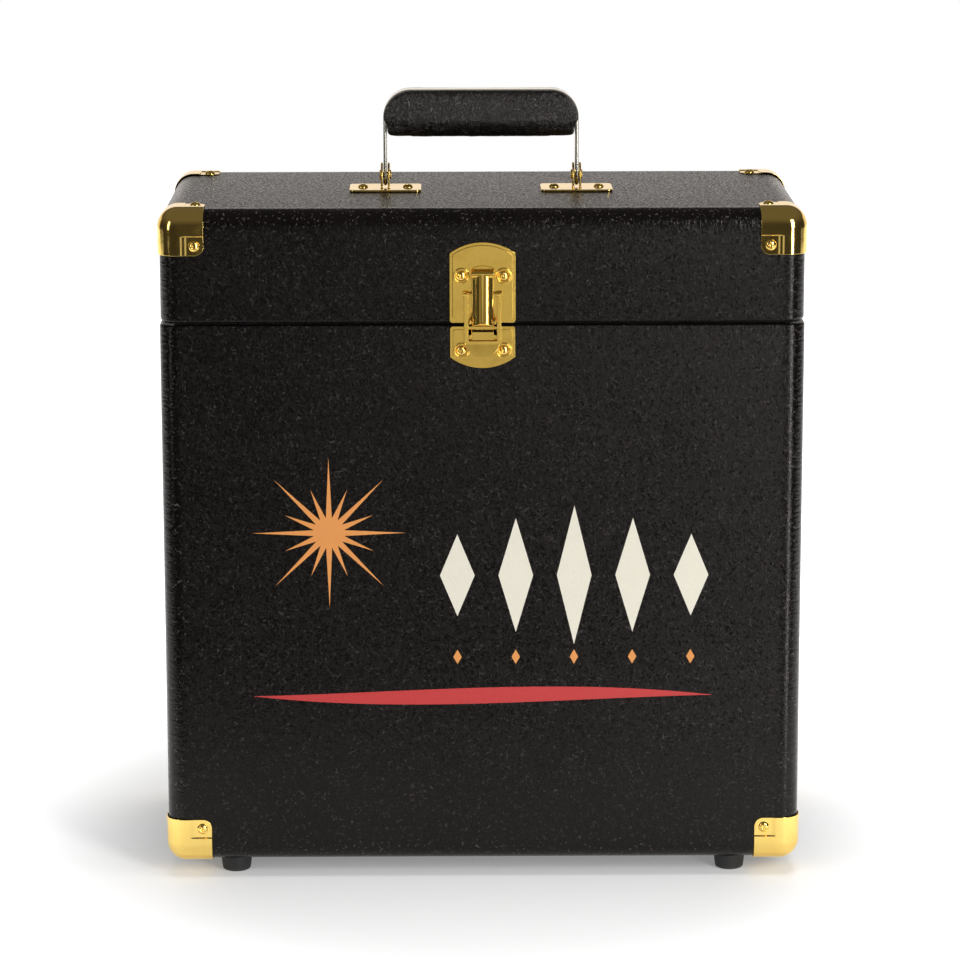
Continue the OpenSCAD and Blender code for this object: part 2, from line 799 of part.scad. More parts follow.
module latch_keeper()
    color(gold)
        difference() {
            union() {
                translate([0, front_y, keeper_z])
                    mirror([0, 0, 1])
                        latch_plate(keeper_w, keeper_h);
                at_each(keeper_spots)
                    screw_ring();
                keeper_ledge();
            }
            at_each(keeper_spots)
                screw_hole(shank_d, shank_len);
        }

// The ledge that the loop's bar hooks under, with a sloped top
module keeper_ledge()
    translate([-ledge_half_w, front_y, ledge_z])
        rotate([90, 0, 90])
            linear_extrude(2 * ledge_half_w)
                polygon([
                    [-glue_gap - plate_rim_t, 0],
                    [-ledge_out, 0],
                    [-ledge_out, ledge_h - ledge_bevel],
                    [-plate_out, ledge_h],
                    [-glue_gap - plate_rim_t, ledge_h]
                ]);

// ---------- hinges ----------

middle_knuckle = [[-knuckle_half, knuckle_half]];
outer_knuckles = [[-hinge_w / 2, -knuckle_half], [knuckle_half, hinge_w / 2]];

// A leaf with the pin at the origin, rising from it: its own knuckles, and the other leaf's, along X
module hinge_leaf(own, others)
    difference() {
        union() {
            translate([-hinge_w / 2, -knuckle_r, 0])
                cube([hinge_w, hinge_t, hinge_leaf_h]);
            for (k = own)
                translate([k[0], 0, 0])
                    rotate([0, 90, 0])
                        cylinder(r = knuckle_r, h = k[1] - k[0]);
        }
        for (k = others)
            translate([k[0] - knuckle_side_gap / 2, -knuckle_r - over, -knuckle_r - over])
                cube([k[1] - k[0] + knuckle_side_gap, 2 * (knuckle_r + over),
                    2 * knuckle_r + over + free_gap]);
        rod(hinge_hole_d, hinge_w);
        for (spot = hinge_screw_spots)
            translate([spot[0], hinge_t - knuckle_r, spot[1]])
                rotate(FACE_REAR)
                    flush_screw(hinge_head_d + 2 * screw_gap, shank_d + 2 * screw_gap);
    }

// A screw with a countersunk head, flush at z = 0
module flush_screw(head_d, shank) {
    head_depth = (head_d - shank) / 2;
    translate([0, 0, -head_depth])
        cylinder(d1 = shank, d2 = head_d, h = head_depth);
    translate([0, 0, -shank_len])
        cylinder(d = shank, h = shank_len - head_depth);
}

module hinge_body_leaf(side)
    color(gold)
        translate([side * hinge_x, hinge_y, seam_z])
            mirror([0, 0, 1])
                hinge_leaf(outer_knuckles, middle_knuckle);

module hinge_lid_leaf(side)
    color(gold)
        translate([side * hinge_x, hinge_y, seam_z]) {
            hinge_leaf(middle_knuckle, outer_knuckles);
            // stop tongue: it lies against the body's leaf when the lid is fully open
            rotate([lid_open, 0, 0])
                difference() {
                    translate([knuckle_side_gap - knuckle_half, hinge_t + stop_gap - knuckle_r, -stop_len])
                        cube([2 * (knuckle_half - knuckle_side_gap), hinge_t, stop_len]);
                    rod(hinge_hole_d, hinge_w);
                }
        }

module hinge_pin(side)
    color(gold)
        translate([side * hinge_x, hinge_y, seam_z])
            rod(hinge_pin_d, hinge_w / 2);

module hinge_screws(spots) {
    slot_len = hinge_head_d * slot_share;
    color(gold)
        at_each(spots)
            difference() {
                flush_screw(hinge_head_d, shank_d);
                for (turn = [0, 90])
                    rotate([0, 0, turn])
                        translate([-slot_len / 2, -hinge_slot_w / 2, -hinge_slot_w])
                            cube([slot_len, hinge_slot_w, over]);
            }
}

// ---------- handle ----------

module handle_bracket(side)
    color(gold)
        translate([side * handle_half, 0, 0])
            difference() {
                union() {
                    translate([0, 0, case_top + glue_gap])
                        linear_extrude(bracket_t)
                            rounded_rectangle(bracket_w, bracket_d, bracket_corner_r);
                    for (ear = [LEFT, RIGHT])
                        translate([ear * (ear_in + ear_t / 2), 0, 0]) {
                            translate([0, 0, pivot_z])
                                rod(2 * ear_r, ear_t / 2);
                            translate([-ear_t / 2, -ear_r, case_top + glue_gap + bracket_t / 2])
                                cube([ear_t, 2 * ear_r, pivot_z - case_top - glue_gap - bracket_t / 2]);
                        }
                }
                translate([0, 0, pivot_z])
                    rod(rivet_d + 2 * screw_gap, ear_in + ear_t + over);
                for (x = [-bracket_screw_x, bracket_screw_x])
                    translate([x, 0, case_top + glue_gap + bracket_t])
                        screw_hole(shank_d, shank_len);
            }

module handle_bracket_screws()
    color(gold)
        at_each(bracket_spots)
            domed_screw(dome_head_d, dome_head_h, shank_d, shank_len);

module handle_rivet(side)
    color(gold)
        translate([side * handle_half, 0, pivot_z]) {
            rod(rivet_d, ear_in + ear_t + rivet_head_t);
            for (end = [LEFT, RIGHT])
                translate([end * (ear_in + ear_t + rivet_head_t / 2), 0, 0])
                    rod(rivet_head_d, rivet_head_t / 2);
        }

// The handle's arch, seen from the front: half_w wide and as high as top, with round upper corners
module arch(half_w, top, r) {
    translate([-half_w, 0])
        square([2 * half_w, top - r]);
    translate([r - half_w, 0])
        square([2 * (half_w - r), top]);
    for (x = [r - half_w, half_w - r])
        translate([x, top - r])
            circle(r = r);
}

module handle_band()
    color(gold)
        difference() {
            union() {
                translate([0, 0, pivot_z])
                    stand(band_w / 2, 0, band_w)
                        difference() {
                            arch(leg_out, handle_h, band_r);
                            translate([0, -over])
                                arch(leg_in, handle_h - band_t + over, band_r - band_t);
                        }
                for (side = [LEFT, RIGHT])
                    translate([side * handle_half, 0, pivot_z])
                        rod(band_w, band_t / 2);
            }
            translate([0, 0, pivot_z])
                rod(rivet_hole_d, leg_out + over);
        }

// The grip's section, front to back: flat under the band, fullest below the middle, narrower underneath
module grip_section()
    hull()
        for (side = [LEFT, RIGHT]) {
            translate([side * (band_w / 2 + grip_shoulder), grip_h - grip_top_r])
                circle(r = grip_top_r, $fn = 32);
            translate([side * (grip_d / 2 - grip_side_r), grip_h * grip_full_at])
                circle(r = grip_side_r, $fn = 32);
            translate([side * (grip_d / 2 - grip_under_r - grip_draw_in), grip_under_r])
                circle(r = grip_under_r, $fn = 32);
        }

module handle_grip()
    color(ink)
        translate([0, 0, grip_low_z])
            intersection() {
                translate([grip_gap - leg_in, 0, 0])
                    rotate([90, 0, 90])
                        linear_extrude(2 * (leg_in - grip_gap))
                            grip_section();
                stand(grip_d, 0, 2 * grip_d)
                    intersection() {
                        arch(leg_in - grip_gap, grip_h, band_r - band_t - grip_gap);
                        translate([0, grip_h])
                            rounded_rectangle(2 * (leg_in - grip_gap), 2 * grip_h, grip_end_r);
                    }
            }

// ---------- the pieces ----------

body_wall_board(FRONT);  // body_front_board
body_wall_board(REAR);  // body_back_board
body_side_board(LEFT);  // body_left_board
body_side_board(RIGHT);  // body_right_board
body_bottom_board();
body_covering();
body_lining_wall(FRONT);  // body_lining_front
body_lining_wall(REAR);  // body_lining_back
body_lining_side(LEFT);  // body_lining_left
body_lining_side(RIGHT);  // body_lining_right
body_floor_pad();
foot(LEFT, FRONT);  // foot_front_left
foot(RIGHT, FRONT);  // foot_front_right
foot(LEFT, REAR);  // foot_rear_left
foot(RIGHT, REAR);  // foot_rear_right
foot_screws();
bottom_guard(LEFT, FRONT);  // bottom_guard_front_left
bottom_guard(RIGHT, FRONT);  // bottom_guard_front_right
bottom_guard(LEFT, REAR);  // bottom_guard_rear_left
bottom_guard(RIGHT, REAR);  // bottom_guard_rear_right
guard_screws(bottom_guard_spots);  // bottom_guard_screws
latch_keeper();
latch_screws(keeper_spots);  // keeper_screws
hinge_body_leaf(LEFT);  // hinge_left_body_leaf
hinge_body_leaf(RIGHT);  // hinge_right_body_leaf
hinge_pin(LEFT);  // hinge_left_pin
hinge_pin(RIGHT);  // hinge_right_pin
hinge_screws(hinge_body_spots);  // hinge_body_screws
lid_top_board();
lid_wall_board(FRONT);  // lid_front_board
lid_wall_board(REAR);  // lid_back_board
lid_side_board(LEFT);  // lid_left_board
lid_side_board(RIGHT);  // lid_right_board
lid_covering();
top_guard(LEFT, FRONT);  // top_guard_front_left
top_guard(RIGHT, FRONT);  // top_guard_front_right
top_guard(LEFT, REAR);  // top_guard_rear_left
top_guard(RIGHT, REAR);  // top_guard_rear_right
guard_screws(top_guard_spots);  // top_guard_screws
latch_base_plate();
latch_screws(latch_spots);  // latch_base_screws
latch_lever_pin();
hinge_lid_leaf(LEFT);  // hinge_left_lid_leaf
hinge_lid_leaf(RIGHT);  // hinge_right_lid_leaf
hinge_screws(hinge_lid_spots);  // hinge_lid_screws
handle_bracket(LEFT);  // handle_bracket_left
handle_bracket(RIGHT);  // handle_bracket_right
handle_bracket_screws();
handle_rivet(LEFT);  // handle_rivet_left
handle_rivet(RIGHT);  // handle_rivet_right
latch_lever();
latch_loop_pin();
latch_loop();
handle_band();
handle_grip();
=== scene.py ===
"""Record carrying case: leatherette, brass fittings, padded handle and lining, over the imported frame."""

import math

import bmesh
import bpy
from bpy.props import FloatProperty, FloatVectorProperty, PointerProperty
from mathutils import Matrix, Vector, noise


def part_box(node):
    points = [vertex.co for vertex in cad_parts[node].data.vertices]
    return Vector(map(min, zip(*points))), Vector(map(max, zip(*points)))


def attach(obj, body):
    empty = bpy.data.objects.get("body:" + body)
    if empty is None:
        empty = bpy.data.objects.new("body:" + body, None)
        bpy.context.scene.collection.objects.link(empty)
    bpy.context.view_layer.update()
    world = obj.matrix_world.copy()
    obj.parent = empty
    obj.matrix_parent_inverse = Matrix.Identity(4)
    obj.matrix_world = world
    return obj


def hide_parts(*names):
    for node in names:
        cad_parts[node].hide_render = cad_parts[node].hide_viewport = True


bl_info = {
    "name": "Record carrying case",
    "version": (1, 0, 0),
    "blender": (4, 5, 0),
    "location": "3D View > Sidebar > Record case",
    "description": "Dresses the packed frame of a record carrying case with leatherette, brass and cloth",
    "category": "Object",
}

MM = 0.001
FRONT, REAR = -1, 1
LEFT, RIGHT = -1, 1
SIDES = {"left": LEFT, "right": RIGHT}
ENDS = {"front": FRONT, "rear": REAR}

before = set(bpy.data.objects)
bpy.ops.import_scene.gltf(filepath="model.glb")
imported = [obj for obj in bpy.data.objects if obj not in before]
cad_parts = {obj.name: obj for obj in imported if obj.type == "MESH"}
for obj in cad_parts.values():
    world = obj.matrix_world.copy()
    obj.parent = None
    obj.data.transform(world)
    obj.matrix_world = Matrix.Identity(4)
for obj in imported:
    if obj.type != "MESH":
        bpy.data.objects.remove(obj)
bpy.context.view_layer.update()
BODY_LOW, BODY_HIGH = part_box("body_covering")
LID_LOW, LID_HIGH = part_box("lid_covering")
SEAM_Z = (BODY_HIGH.z + LID_LOW.z) / 2


# ---------- sizes and colours that a user may change ----------


class CaseCovering(bpy.types.PropertyGroup):
    """Sizes and colours of the leatherette, the print on it and the lining"""

    edge_radius: FloatProperty(
        name="Edge radius", description="Radius of the case's outer edges",
        default=10 * MM, min=6 * MM, max=12 * MM, unit="LENGTH", precision=4,
    )
    sheet: FloatProperty(
        name="Sheet", description="Thickness of the leatherette",
        default=0.8 * MM, min=0.4 * MM, max=1.2 * MM, unit="LENGTH", precision=5,
    )
    grain: FloatProperty(
        name="Grain", description="Size of one pebble of the leatherette's grain",
        default=1.5 * MM, min=0.5 * MM, max=3 * MM, unit="LENGTH", precision=5,
    )
    black: FloatVectorProperty(
        name="Black", description="Colour of the leatherette",
        default=(0.0024, 0.0018, 0.0015), subtype="COLOR", min=0, max=1,
    )
    cream: FloatVectorProperty(
        name="Cream ink", description="Cream of the print on the front",
        default=(0.71, 0.67, 0.56), subtype="COLOR", min=0, max=1,
    )
    orange: FloatVectorProperty(
        name="Orange ink", description="Orange of the print on the front",
        default=(0.68, 0.27, 0.066), subtype="COLOR", min=0, max=1,
    )
    red: FloatVectorProperty(
        name="Red ink", description="Red of the print on the front",
        default=(0.47, 0.029, 0.028), subtype="COLOR", min=0, max=1,
    )
    cloth: FloatVectorProperty(
        name="Lining", description="Colour of the cloth lining",
        default=(0.022, 0.022, 0.025), subtype="COLOR", min=0, max=1,
    )


class CaseMetal(bpy.types.PropertyGroup):
    """Colour and edges of the brass-plated fittings"""

    brass: FloatVectorProperty(
        name="Brass", description="Colour of the brass plating",
        default=(0.93, 0.665, 0.19), subtype="COLOR", min=0, max=1,
    )
    roughness: FloatProperty(
        name="Roughness", description="Roughness of the polished plating",
        default=0.09, min=0.02, max=0.5,
    )
    edge: FloatProperty(
        name="Edge", description="Radius of the stamped fittings' edges",
        default=0.22 * MM, min=0.05 * MM, max=0.5 * MM, unit="LENGTH", precision=5,
    )
    guard_sheet: FloatProperty(
        name="Guard sheet", description="Thickness of the corner guards' sheet",
        default=0.5 * MM, min=0.3 * MM, max=0.7 * MM, unit="LENGTH", precision=5,
    )


class CaseStage(bpy.types.PropertyGroup):
    """The camera: its lens, place and turn"""

    lens: FloatProperty(
        name="Lens", description="Focal length that frames the case as seen from 2.15 m",
        default=144.975, min=50, max=300, subtype="NONE",
    )
    camera_at: FloatVectorProperty(
        name="Camera", description="Place of the camera",
        default=(-0.0190, -2.1476, 0.6557), subtype="TRANSLATION", unit="LENGTH", precision=4,
    )
    pitch: FloatProperty(
        name="Pitch", description="How far the camera looks down",
        default=math.radians(11.794), subtype="ANGLE",
    )
    yaw: FloatProperty(
        name="Yaw", description="How far the camera looks to the right",
        default=math.radians(0.486), subtype="ANGLE",
    )
    roll: FloatProperty(
        name="Roll", description="Turn of the camera about its own view",
        default=math.radians(-0.09), subtype="ANGLE",
    )


# ---------- shader nodes ----------


class Wire:
    """A socket that joins in arithmetic: each operator adds a Math node after it"""

    def __init__(self, paint, socket):
        self.paint = paint
        self.socket = socket

    def maths(self, operation, *others):
        return self.paint.node("Math", {"operation": operation}, self, *others)

    def __add__(self, other):
        return self.maths("ADD", other)

    def __radd__(self, other):
        return self.maths("ADD", other)

    def __sub__(self, other):
        return self.maths("SUBTRACT", other)

    def __rsub__(self, other):
        return self.paint.node("Math", {"operation": "SUBTRACT"}, other, self)

    def __mul__(self, other):
        return self.maths("MULTIPLY", other)

    def __rmul__(self, other):
        return self.maths("MULTIPLY", other)

    def at_least(self, other):
        return self.maths("MAXIMUM", other)

    def step(self, low, high):
        """0 below low, 1 above high, and a smooth rise between them"""
        return self.paint.node(
            "MapRange", {"interpolation_type": "SMOOTHSTEP"}, self, low, high, 0.0, 1.0
        )


class Nodes:
    """The node tree of a material or of the world, emptied but for its output"""

    def __init__(self, owner, output):
        owner.use_nodes = True
        self.tree = owner.node_tree
        self.tree.nodes.clear()
        self.output = self.tree.nodes.new(output)

    def node(self, kind, settings=None, *values, out=0, **named):
        """Any node: its settings are set first, then its inputs in order or by name"""
        made = self.tree.nodes.new("ShaderNode" + kind)
        for key, value in (settings or {}).items():
            setattr(made, key, value)
        for place, value in enumerate(values):
            self.feed(made.inputs[place], value)
        for key, value in named.items():
            self.feed(self.socket(made, key), value)
        return Wire(self, made.outputs[out])

    def socket(self, made, key):
        """A node's input by its name in small letters, with _ for a space"""
        return next(s for s in made.inputs if s.name.lower() == key.replace("_", " "))

    def feed(self, socket, value):
        if isinstance(value, Wire):
            self.tree.links.new(value.socket, socket)
        elif value is not None:
            socket.default_value = value

    def place(self, scale=1.0 / MM, turn=(0, 0, 0), stretch=(1, 1, 1)):
        """Object coordinates in millimetres, turned and stretched if asked"""
        coords = self.node("TexCoord", out=3)
        size = tuple(scale * s for s in stretch)
        return self.node("Mapping", None, coords, (0, 0, 0), turn, size)

    def noise(self, at, size, detail=2.0, rough=0.5):
        """Soft noise from 0 to 1 whose blotches are about this many millimetres wide"""
        return self.node("TexNoise", None, at, scale=1.0 / size, detail=detail, roughness=rough)

    def cells(self, at, size, feature="DISTANCE_TO_EDGE", random=1.0):
        return self.node("TexVoronoi", {"feature": feature}, at, scale=1.0 / size, randomness=random)

    def sway(self, at, detail, rough):
        """Broad colour noise, for shift"""
        return self.node("TexNoise", None, at, out=1, scale=0.3, detail=detail, roughness=rough)

    def shift(self, at, by, amount):
        """Moves a place by a colour noise, so that a pattern read there meanders"""
        centred = self.node("VectorMath", {"operation": "SUBTRACT"}, by, (0.5, 0.5, 0.5))
        moved = self.node("VectorMath", {"operation": "SCALE"}, centred, scale=amount)
        return self.node("VectorMath", {"operation": "ADD"}, at, moved)

    def blend(self, share, first, second):
        """Mixes two colours, past the five sockets that the node keeps for numbers and vectors"""
        colours = self.rgba(first), self.rgba(second)
        return self.node("Mix", {"data_type": "RGBA"}, share, *[None] * 5, *colours, out=2)

    def rgba(self, colour):
        return colour if isinstance(colour, Wire) else (*colour, 1.0)

    def bump(self, height, depth, strength=1.0, normal=None):
        """Relief: a height from 0 to 1 that stands for this many metres"""
        return self.node("Bump", None, strength, depth, height=height, normal=normal)

    def rays(self, *kinds):
        """Whether the ray being traced is of each of these kinds"""
        node = self.node("LightPath").socket.node
        return [Wire(self, node.outputs[f"Is {kind} Ray"]) for kind in kinds]

    def show(self, shader):
        """Makes a shader the one that the output shows"""
        self.tree.links.new(shader.socket, self.output.inputs["Surface"])


class Paint(Nodes):
    """One material: its nodes, its shader and what varies over the surface"""

    def __init__(self, name):
        self.material = bpy.data.materials.new(name)
        super().__init__(self.material, "ShaderNodeOutputMaterial")

    def shade(self, colour, roughness, metallic=0.0, normal=None, **constants):
        """Ends the material with its shader, whose other sockets hold constants"""
        shader = self.node(
            "BsdfPrincipled", base_color=self.rgba(colour), roughness=roughness, metallic=metallic,
            normal=normal, **constants,
        )
        self.show(shader)
        return self.material


# ---------- finishes ----------


STRETCH_FROM, STRETCH_FULL = 14, 6
CREASE_WIDTH = 1.9
# colour of the painted highlight: pale strokes that stand in for light caught on the grain
GLINT_GREY = (0.07, 0.061, 0.057)
WARM_SHEEN = (1, 0.94, 0.9, 1)
SCRATCH_DEPTH = 0.0012 * MM


def times(share, colour):
    """A colour made lighter or darker by a factor"""
    return tuple(share * c for c in colour)


def leather_grain(paint, pebble, at):
    """Pressed grain from 0 to 1: flat pebbles of uneven size, narrow creases and a few longer folds"""
    sway = paint.sway(at, 3.0, 0.6)
    domes = paint.cells(paint.shift(at, sway, 3.0), pebble).step(0.0, 0.26)
    folds = paint.cells(paint.shift(at, sway, 7.0), pebble * 3.1).step(0.0, 0.09)
    uneven = paint.noise(at, pebble * 1.7, detail=2.0)
    return domes * (0.1 + 0.6 * uneven) + folds * 0.35 + uneven * 0.3


def glint_strokes(paint, pebble, at):
    """Short pale strokes along some of the creases: painted highlight, standing in for glints of light on the
    grain
    """
    lines = 1 - paint.cells(paint.shift(at, paint.sway(at, 2.0, 0.5), 3.0), pebble * 1.5).step(0.02, 0.1)
    return lines * paint.noise(at, pebble * 1.1, detail=1.0).step(0.6, 0.67)


def fine_creases(paint, stretch):
    """Fine creases that run along the axes whose share is small"""
    return paint.noise(paint.place(stretch=stretch), CREASE_WIDTH, detail=2.0, rough=0.6)


def edge_creases(paint, at, half, middle_z):
    """Where the sheet is stretched round the case's edges, and the fine creases across each edge"""
    x, y, z = (paint.node("SeparateXYZ", None, at, out=i) for i in range(3))
    near_x, near_y, near_z = (
        place.maths("ABSOLUTE").step(reach - STRETCH_FROM, reach - STRETCH_FULL)
        for place, reach in zip((x, y, z - middle_z), half)
    )
    share = 0.22
    edges = (
        (near_x * near_y, (share, share, 1)),
        (near_y * near_z, (1, share, share)),
        (near_x * near_z, (share, 1, share)),
    )
    stretched, creases = 0.0, 0.0
    for edge, stretch in edges:
        stretched = edge.at_least(stretched)
        creases = edge * fine_creases(paint, stretch) + creases
    return stretched, creases


def leatherette(
    name, colour, pebble, relief, gloss=0.19, specular=0.24, glint_amount=0.6, edges=None, wrinkles=0.0
):
    """Black grained sheet: painted shade darkens its creases, which are also rougher, pale strokes of painted
    highlight lie along some creases, more of them round the case's edges, and the edges are glossier
    """
    paint = Paint(name)
    at = paint.place()
    grain = leather_grain(paint, pebble, at)
    patches = paint.noise(at, 46, detail=3.0, rough=0.6)
    tone = paint.blend(patches.step(0.3, 0.7), colour, times(1.5, colour))
    # painted shade: the colour is halved down in the grain's creases
    shade = paint.blend(grain.step(0.1, 0.75), times(0.5, colour), tone)
    strokes = glint_strokes(paint, pebble, at)
    mottled = paint.noise(at, 1.5, detail=3.0, rough=0.7)
    roughness = gloss + 0.16 * (1 - grain.step(0.15, 0.6)) + 0.05 * patches + 0.26 * mottled.step(0.4, 0.66)
    height = grain
    if edges:
        stretched, creases = edge_creases(paint, at, *edges)
        height = grain * (1 - stretched * 0.6) + creases * 3.0
        roughness = roughness * (1 - stretched * 0.35)
        # the pale strokes of painted highlight grow stronger where the sheet turns round the edges
        strokes = strokes * (1 + stretched * 0.9)
    # painted highlight: the pale strokes lighten the colour
    shade = paint.blend(strokes * glint_amount, shade, GLINT_GREY)
    if wrinkles:
        height = grain * 1.3 + fine_creases(paint, (1, 0.25, 0.25)) * wrinkles
    normal = paint.bump(height, relief)
    return paint.shade(
        shade, roughness, normal=normal, specular_ior_level=specular, specular_tint=WARM_SHEEN
    )


def printed_ink(name, colour, covering):
    """Ink printed over the leatherette, whose grain shows through and rubs it thin in places"""
    paint = Paint(name)
    at = paint.place()
    pebble = covering.grain / MM
    grain = leather_grain(paint, pebble, at)
    fade = paint.noise(at, 9, detail=3.0, rough=0.65)
    worn = grain.step(0.0, 0.2) * 0.6 + 0.4
    soft = paint.blend(fade.step(0.25, 0.8) * 0.22, colour, times(0.86, colour))
    shade = paint.blend(worn, times(0.55, colour), soft)
    normal = paint.bump(grain, 0.1 * MM)
    return paint.shade(shade, 0.42 + 0.12 * fade, normal=normal)


def plated_brass(name, metal, roughness, wave=0.02, scratch=0.25, tint=(1, 1, 1)):
    """Polished plating over stamped sheet: slight waves, hairline scratches and fingered patches"""
    paint = Paint(name)
    at = paint.place()
    smear = paint.noise(at, 7, detail=4.0, rough=0.6)
    hairs = paint.noise(paint.place(stretch=(0.3, 0.3, 6.0)), 1.6, detail=2.0).step(0.62, 0.78)
    slanted = paint.place(turn=(0.5, 0.9, 0.3), stretch=(7.0, 0.4, 0.4))
    rub = paint.noise(slanted, 1.8, detail=2.0).step(0.64, 0.78)
    bright = tuple(c * f for c, f in zip(metal.brass, tint))
    deep = tuple(c * f for c, f in zip(bright, (0.94, 0.89, 0.78)))
    tone = paint.blend(smear.step(0.35, 0.75) * 0.5, bright, deep)
    shine = roughness + 0.05 * smear.step(0.45, 0.8) + 0.07 * scratch * (hairs + rub)
    swell = paint.noise(at, 11, detail=1.0) * 0.8 + paint.noise(at, 3.2, detail=1.0) * 0.2
    normal = paint.bump(swell, wave * MM)
    normal = paint.bump(hairs + rub, SCRATCH_DEPTH, scratch, normal)
    return paint.shade(tone, shine, metallic=1.0, normal=normal)


def lining_weave(name, colour, pitch=0.55):
    """Plain-woven lining cloth: crossing threads with a little fuzz, with painted shade between the threads
    and painted light on their tops
    """
    paint = Paint(name)
    at = paint.place(scale=1.0 / (pitch * MM))
    fuzz = paint.noise(paint.place(), 0.35, detail=3.0, rough=0.7)
    cloudy = paint.noise(paint.place(), 30, detail=3.0)
    over = paint.node("TexChecker", None, at, (1, 1, 1, 1), (0, 0, 0, 1), 1.0, out=1)
    threads = paint.cells(at, 1.0, feature="F1", random=0.08)
    height = (1 - threads) * 0.7 + over * 0.2 + fuzz * 0.35
    # painted shade and light: the low places of the weave are darker, its tops lighter
    shade = paint.blend(height.step(0.3, 0.95), times(0.45, colour), times(1.5, colour))
    shade = paint.blend(cloudy * 0.25, shade, colour)
    normal = paint.bump(height, 0.12 * MM)
    return paint.shade(shade, 0.86 + 0.08 * fuzz, normal=normal, sheen_weight=0.25, sheen_roughness=0.5)


def black_paper(name):
    """Matt black paper inside the lid, with its fibres and a few soft creases"""
    paint = Paint(name)
    at = paint.place()
    fibres = paint.noise(paint.place(stretch=(1, 1, 0.35)), 0.5, detail=4.0, rough=0.7)
    cloudy = paint.noise(at, 26, detail=4.0, rough=0.6)
    shade = paint.blend(fibres * 0.5 + cloudy * 0.4, (0.011, 0.011, 0.012), (0.03, 0.029, 0.028))
    normal = paint.bump(fibres * 0.6 + cloudy * 0.8, 0.06 * MM)
    return paint.shade(shade, 0.74 + 0.12 * cloudy, normal=normal)


def fibreboard(name):
    """Brown pressed board: fine chips in paler and darker browns"""
    paint = Paint(name)
    at = paint.place()
    chips = paint.noise(at, 0.8, detail=4.0, rough=0.75)
    flecks = paint.noise(paint.place(stretch=(1, 0.4, 1)), 2.4, detail=3.0).step(0.5, 0.75)
    shade = paint.blend(chips, (0.11, 0.065, 0.032), (0.30, 0.20, 0.11))
    shade = paint.blend(flecks * 0.5, shade, (0.075, 0.043, 0.021))
    normal = paint.bump(chips, 0.08 * MM)
    return paint.shade(shade, 0.8 + 0.1 * chips, normal=normal)


def foot_rubber(name):
    """Black rubber, slightly grey with dust where it meets the floor"""
    paint = Paint(name)
    at = paint.place()
    mottled = paint.noise(at, 1.4, detail=4.0, rough=0.7)
    height = paint.node("SeparateXYZ", None, at, out=2)
    dusty = (1 - height.step(0.2, 2.6)) * (0.3 + 0.7 * mottled)
    shade = paint.blend(dusty, (0.012, 0.011, 0.011), (0.055, 0.05, 0.046))
    normal = paint.bump(mottled, 0.05 * MM)
    return paint.shade(shade, 0.5 + 0.25 * dusty + 0.1 * mottled, normal=normal)


# ---------- meshes ----------


def add_piece(name, bm, material, body, slot, *nodes):
    """Turns a bmesh into a finished piece that rides on a body and stands for CAD nodes"""
    mesh = bpy.data.meshes.new(name)
    bm.to_mesh(mesh)
    bm.free()
    if "custom_normal" in mesh.attributes:
        mesh.attributes.remove(mesh.attributes["custom_normal"])
    mesh.materials.clear()
    mesh.materials.append(material)
    mesh.shade_smooth()
    piece = bpy.data.objects.new(name, mesh)
    bpy.context.scene.collection.objects.link(piece)
    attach(piece, body)
    if nodes:
        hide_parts(*nodes)
    return piece


def round_edges(piece, radius, segments=3, above=32):
    """Rounds every edge sharper than an angle, and shades the flats flat"""
    bevel = piece.modifiers.new("Rounded edges", "BEVEL")
    bevel.width = radius
    bevel.segments = segments
    bevel.limit_method = "ANGLE"
    bevel.angle_limit = math.radians(above)
    bevel.use_clamp_overlap = False
    bevel.harden_normals = True


def thicken(piece, thickness):
    """Gives an outer skin its wall, inward"""
    wall = piece.modifiers.new("Wall", "SOLIDIFY")
    wall.thickness = thickness
    wall.offset = -1
    wall.use_even_offset = True


def cad_shape(*nodes, whole=True):
    """The shapes of some CAD nodes as one merged bmesh, with whole flat faces unless they hold a window"""
    bm = bmesh.new()
    for node in nodes:
        bm.from_mesh(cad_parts[node].data)
    bmesh.ops.remove_doubles(bm, verts=bm.verts, dist=0.002 * MM)
    if whole:
        bmesh.ops.dissolve_limit(
            bm, angle_limit=math.radians(0.6), verts=bm.verts, edges=bm.edges, use_dissolve_boundaries=False
        )
    return bm


def stamped(node, material, body, slot, edge, segments=3, whole=True):
    """A stamped or turned fitting: the CAD node's own shape with its edges broken"""
    shape = cad_shape(node, whole=whole)
    piece = add_piece(f"{node}_shown", shape, material, body, slot, node)
    round_edges(piece, edge, segments)


def line_grid(bm, lines):
    """Adds a square grid, and gives each of its points with the two of these lines on which it stands"""
    count = len(lines) - 1
    grid = bmesh.ops.create_grid(bm, x_segments=count, y_segments=count, size=0.5)["verts"]
    steps = [(round((p.co.x + 0.5) * count), round((p.co.y + 0.5) * count)) for p in grid]
    return [(point, lines[i], lines[j]) for point, (i, j) in zip(grid, steps)]


def loose_parts(bm):
    """The separate solids of a bmesh, as lists of vertices"""
    left = set(bm.verts)
    parts = []
    while left:
        found = [left.pop()]
        for vertex in found:
            for edge in vertex.link_edges:
                other = edge.other_vert(vertex)
                if other in left:
                    left.remove(other)
                    found.append(other)
        parts.append(found)
    return parts


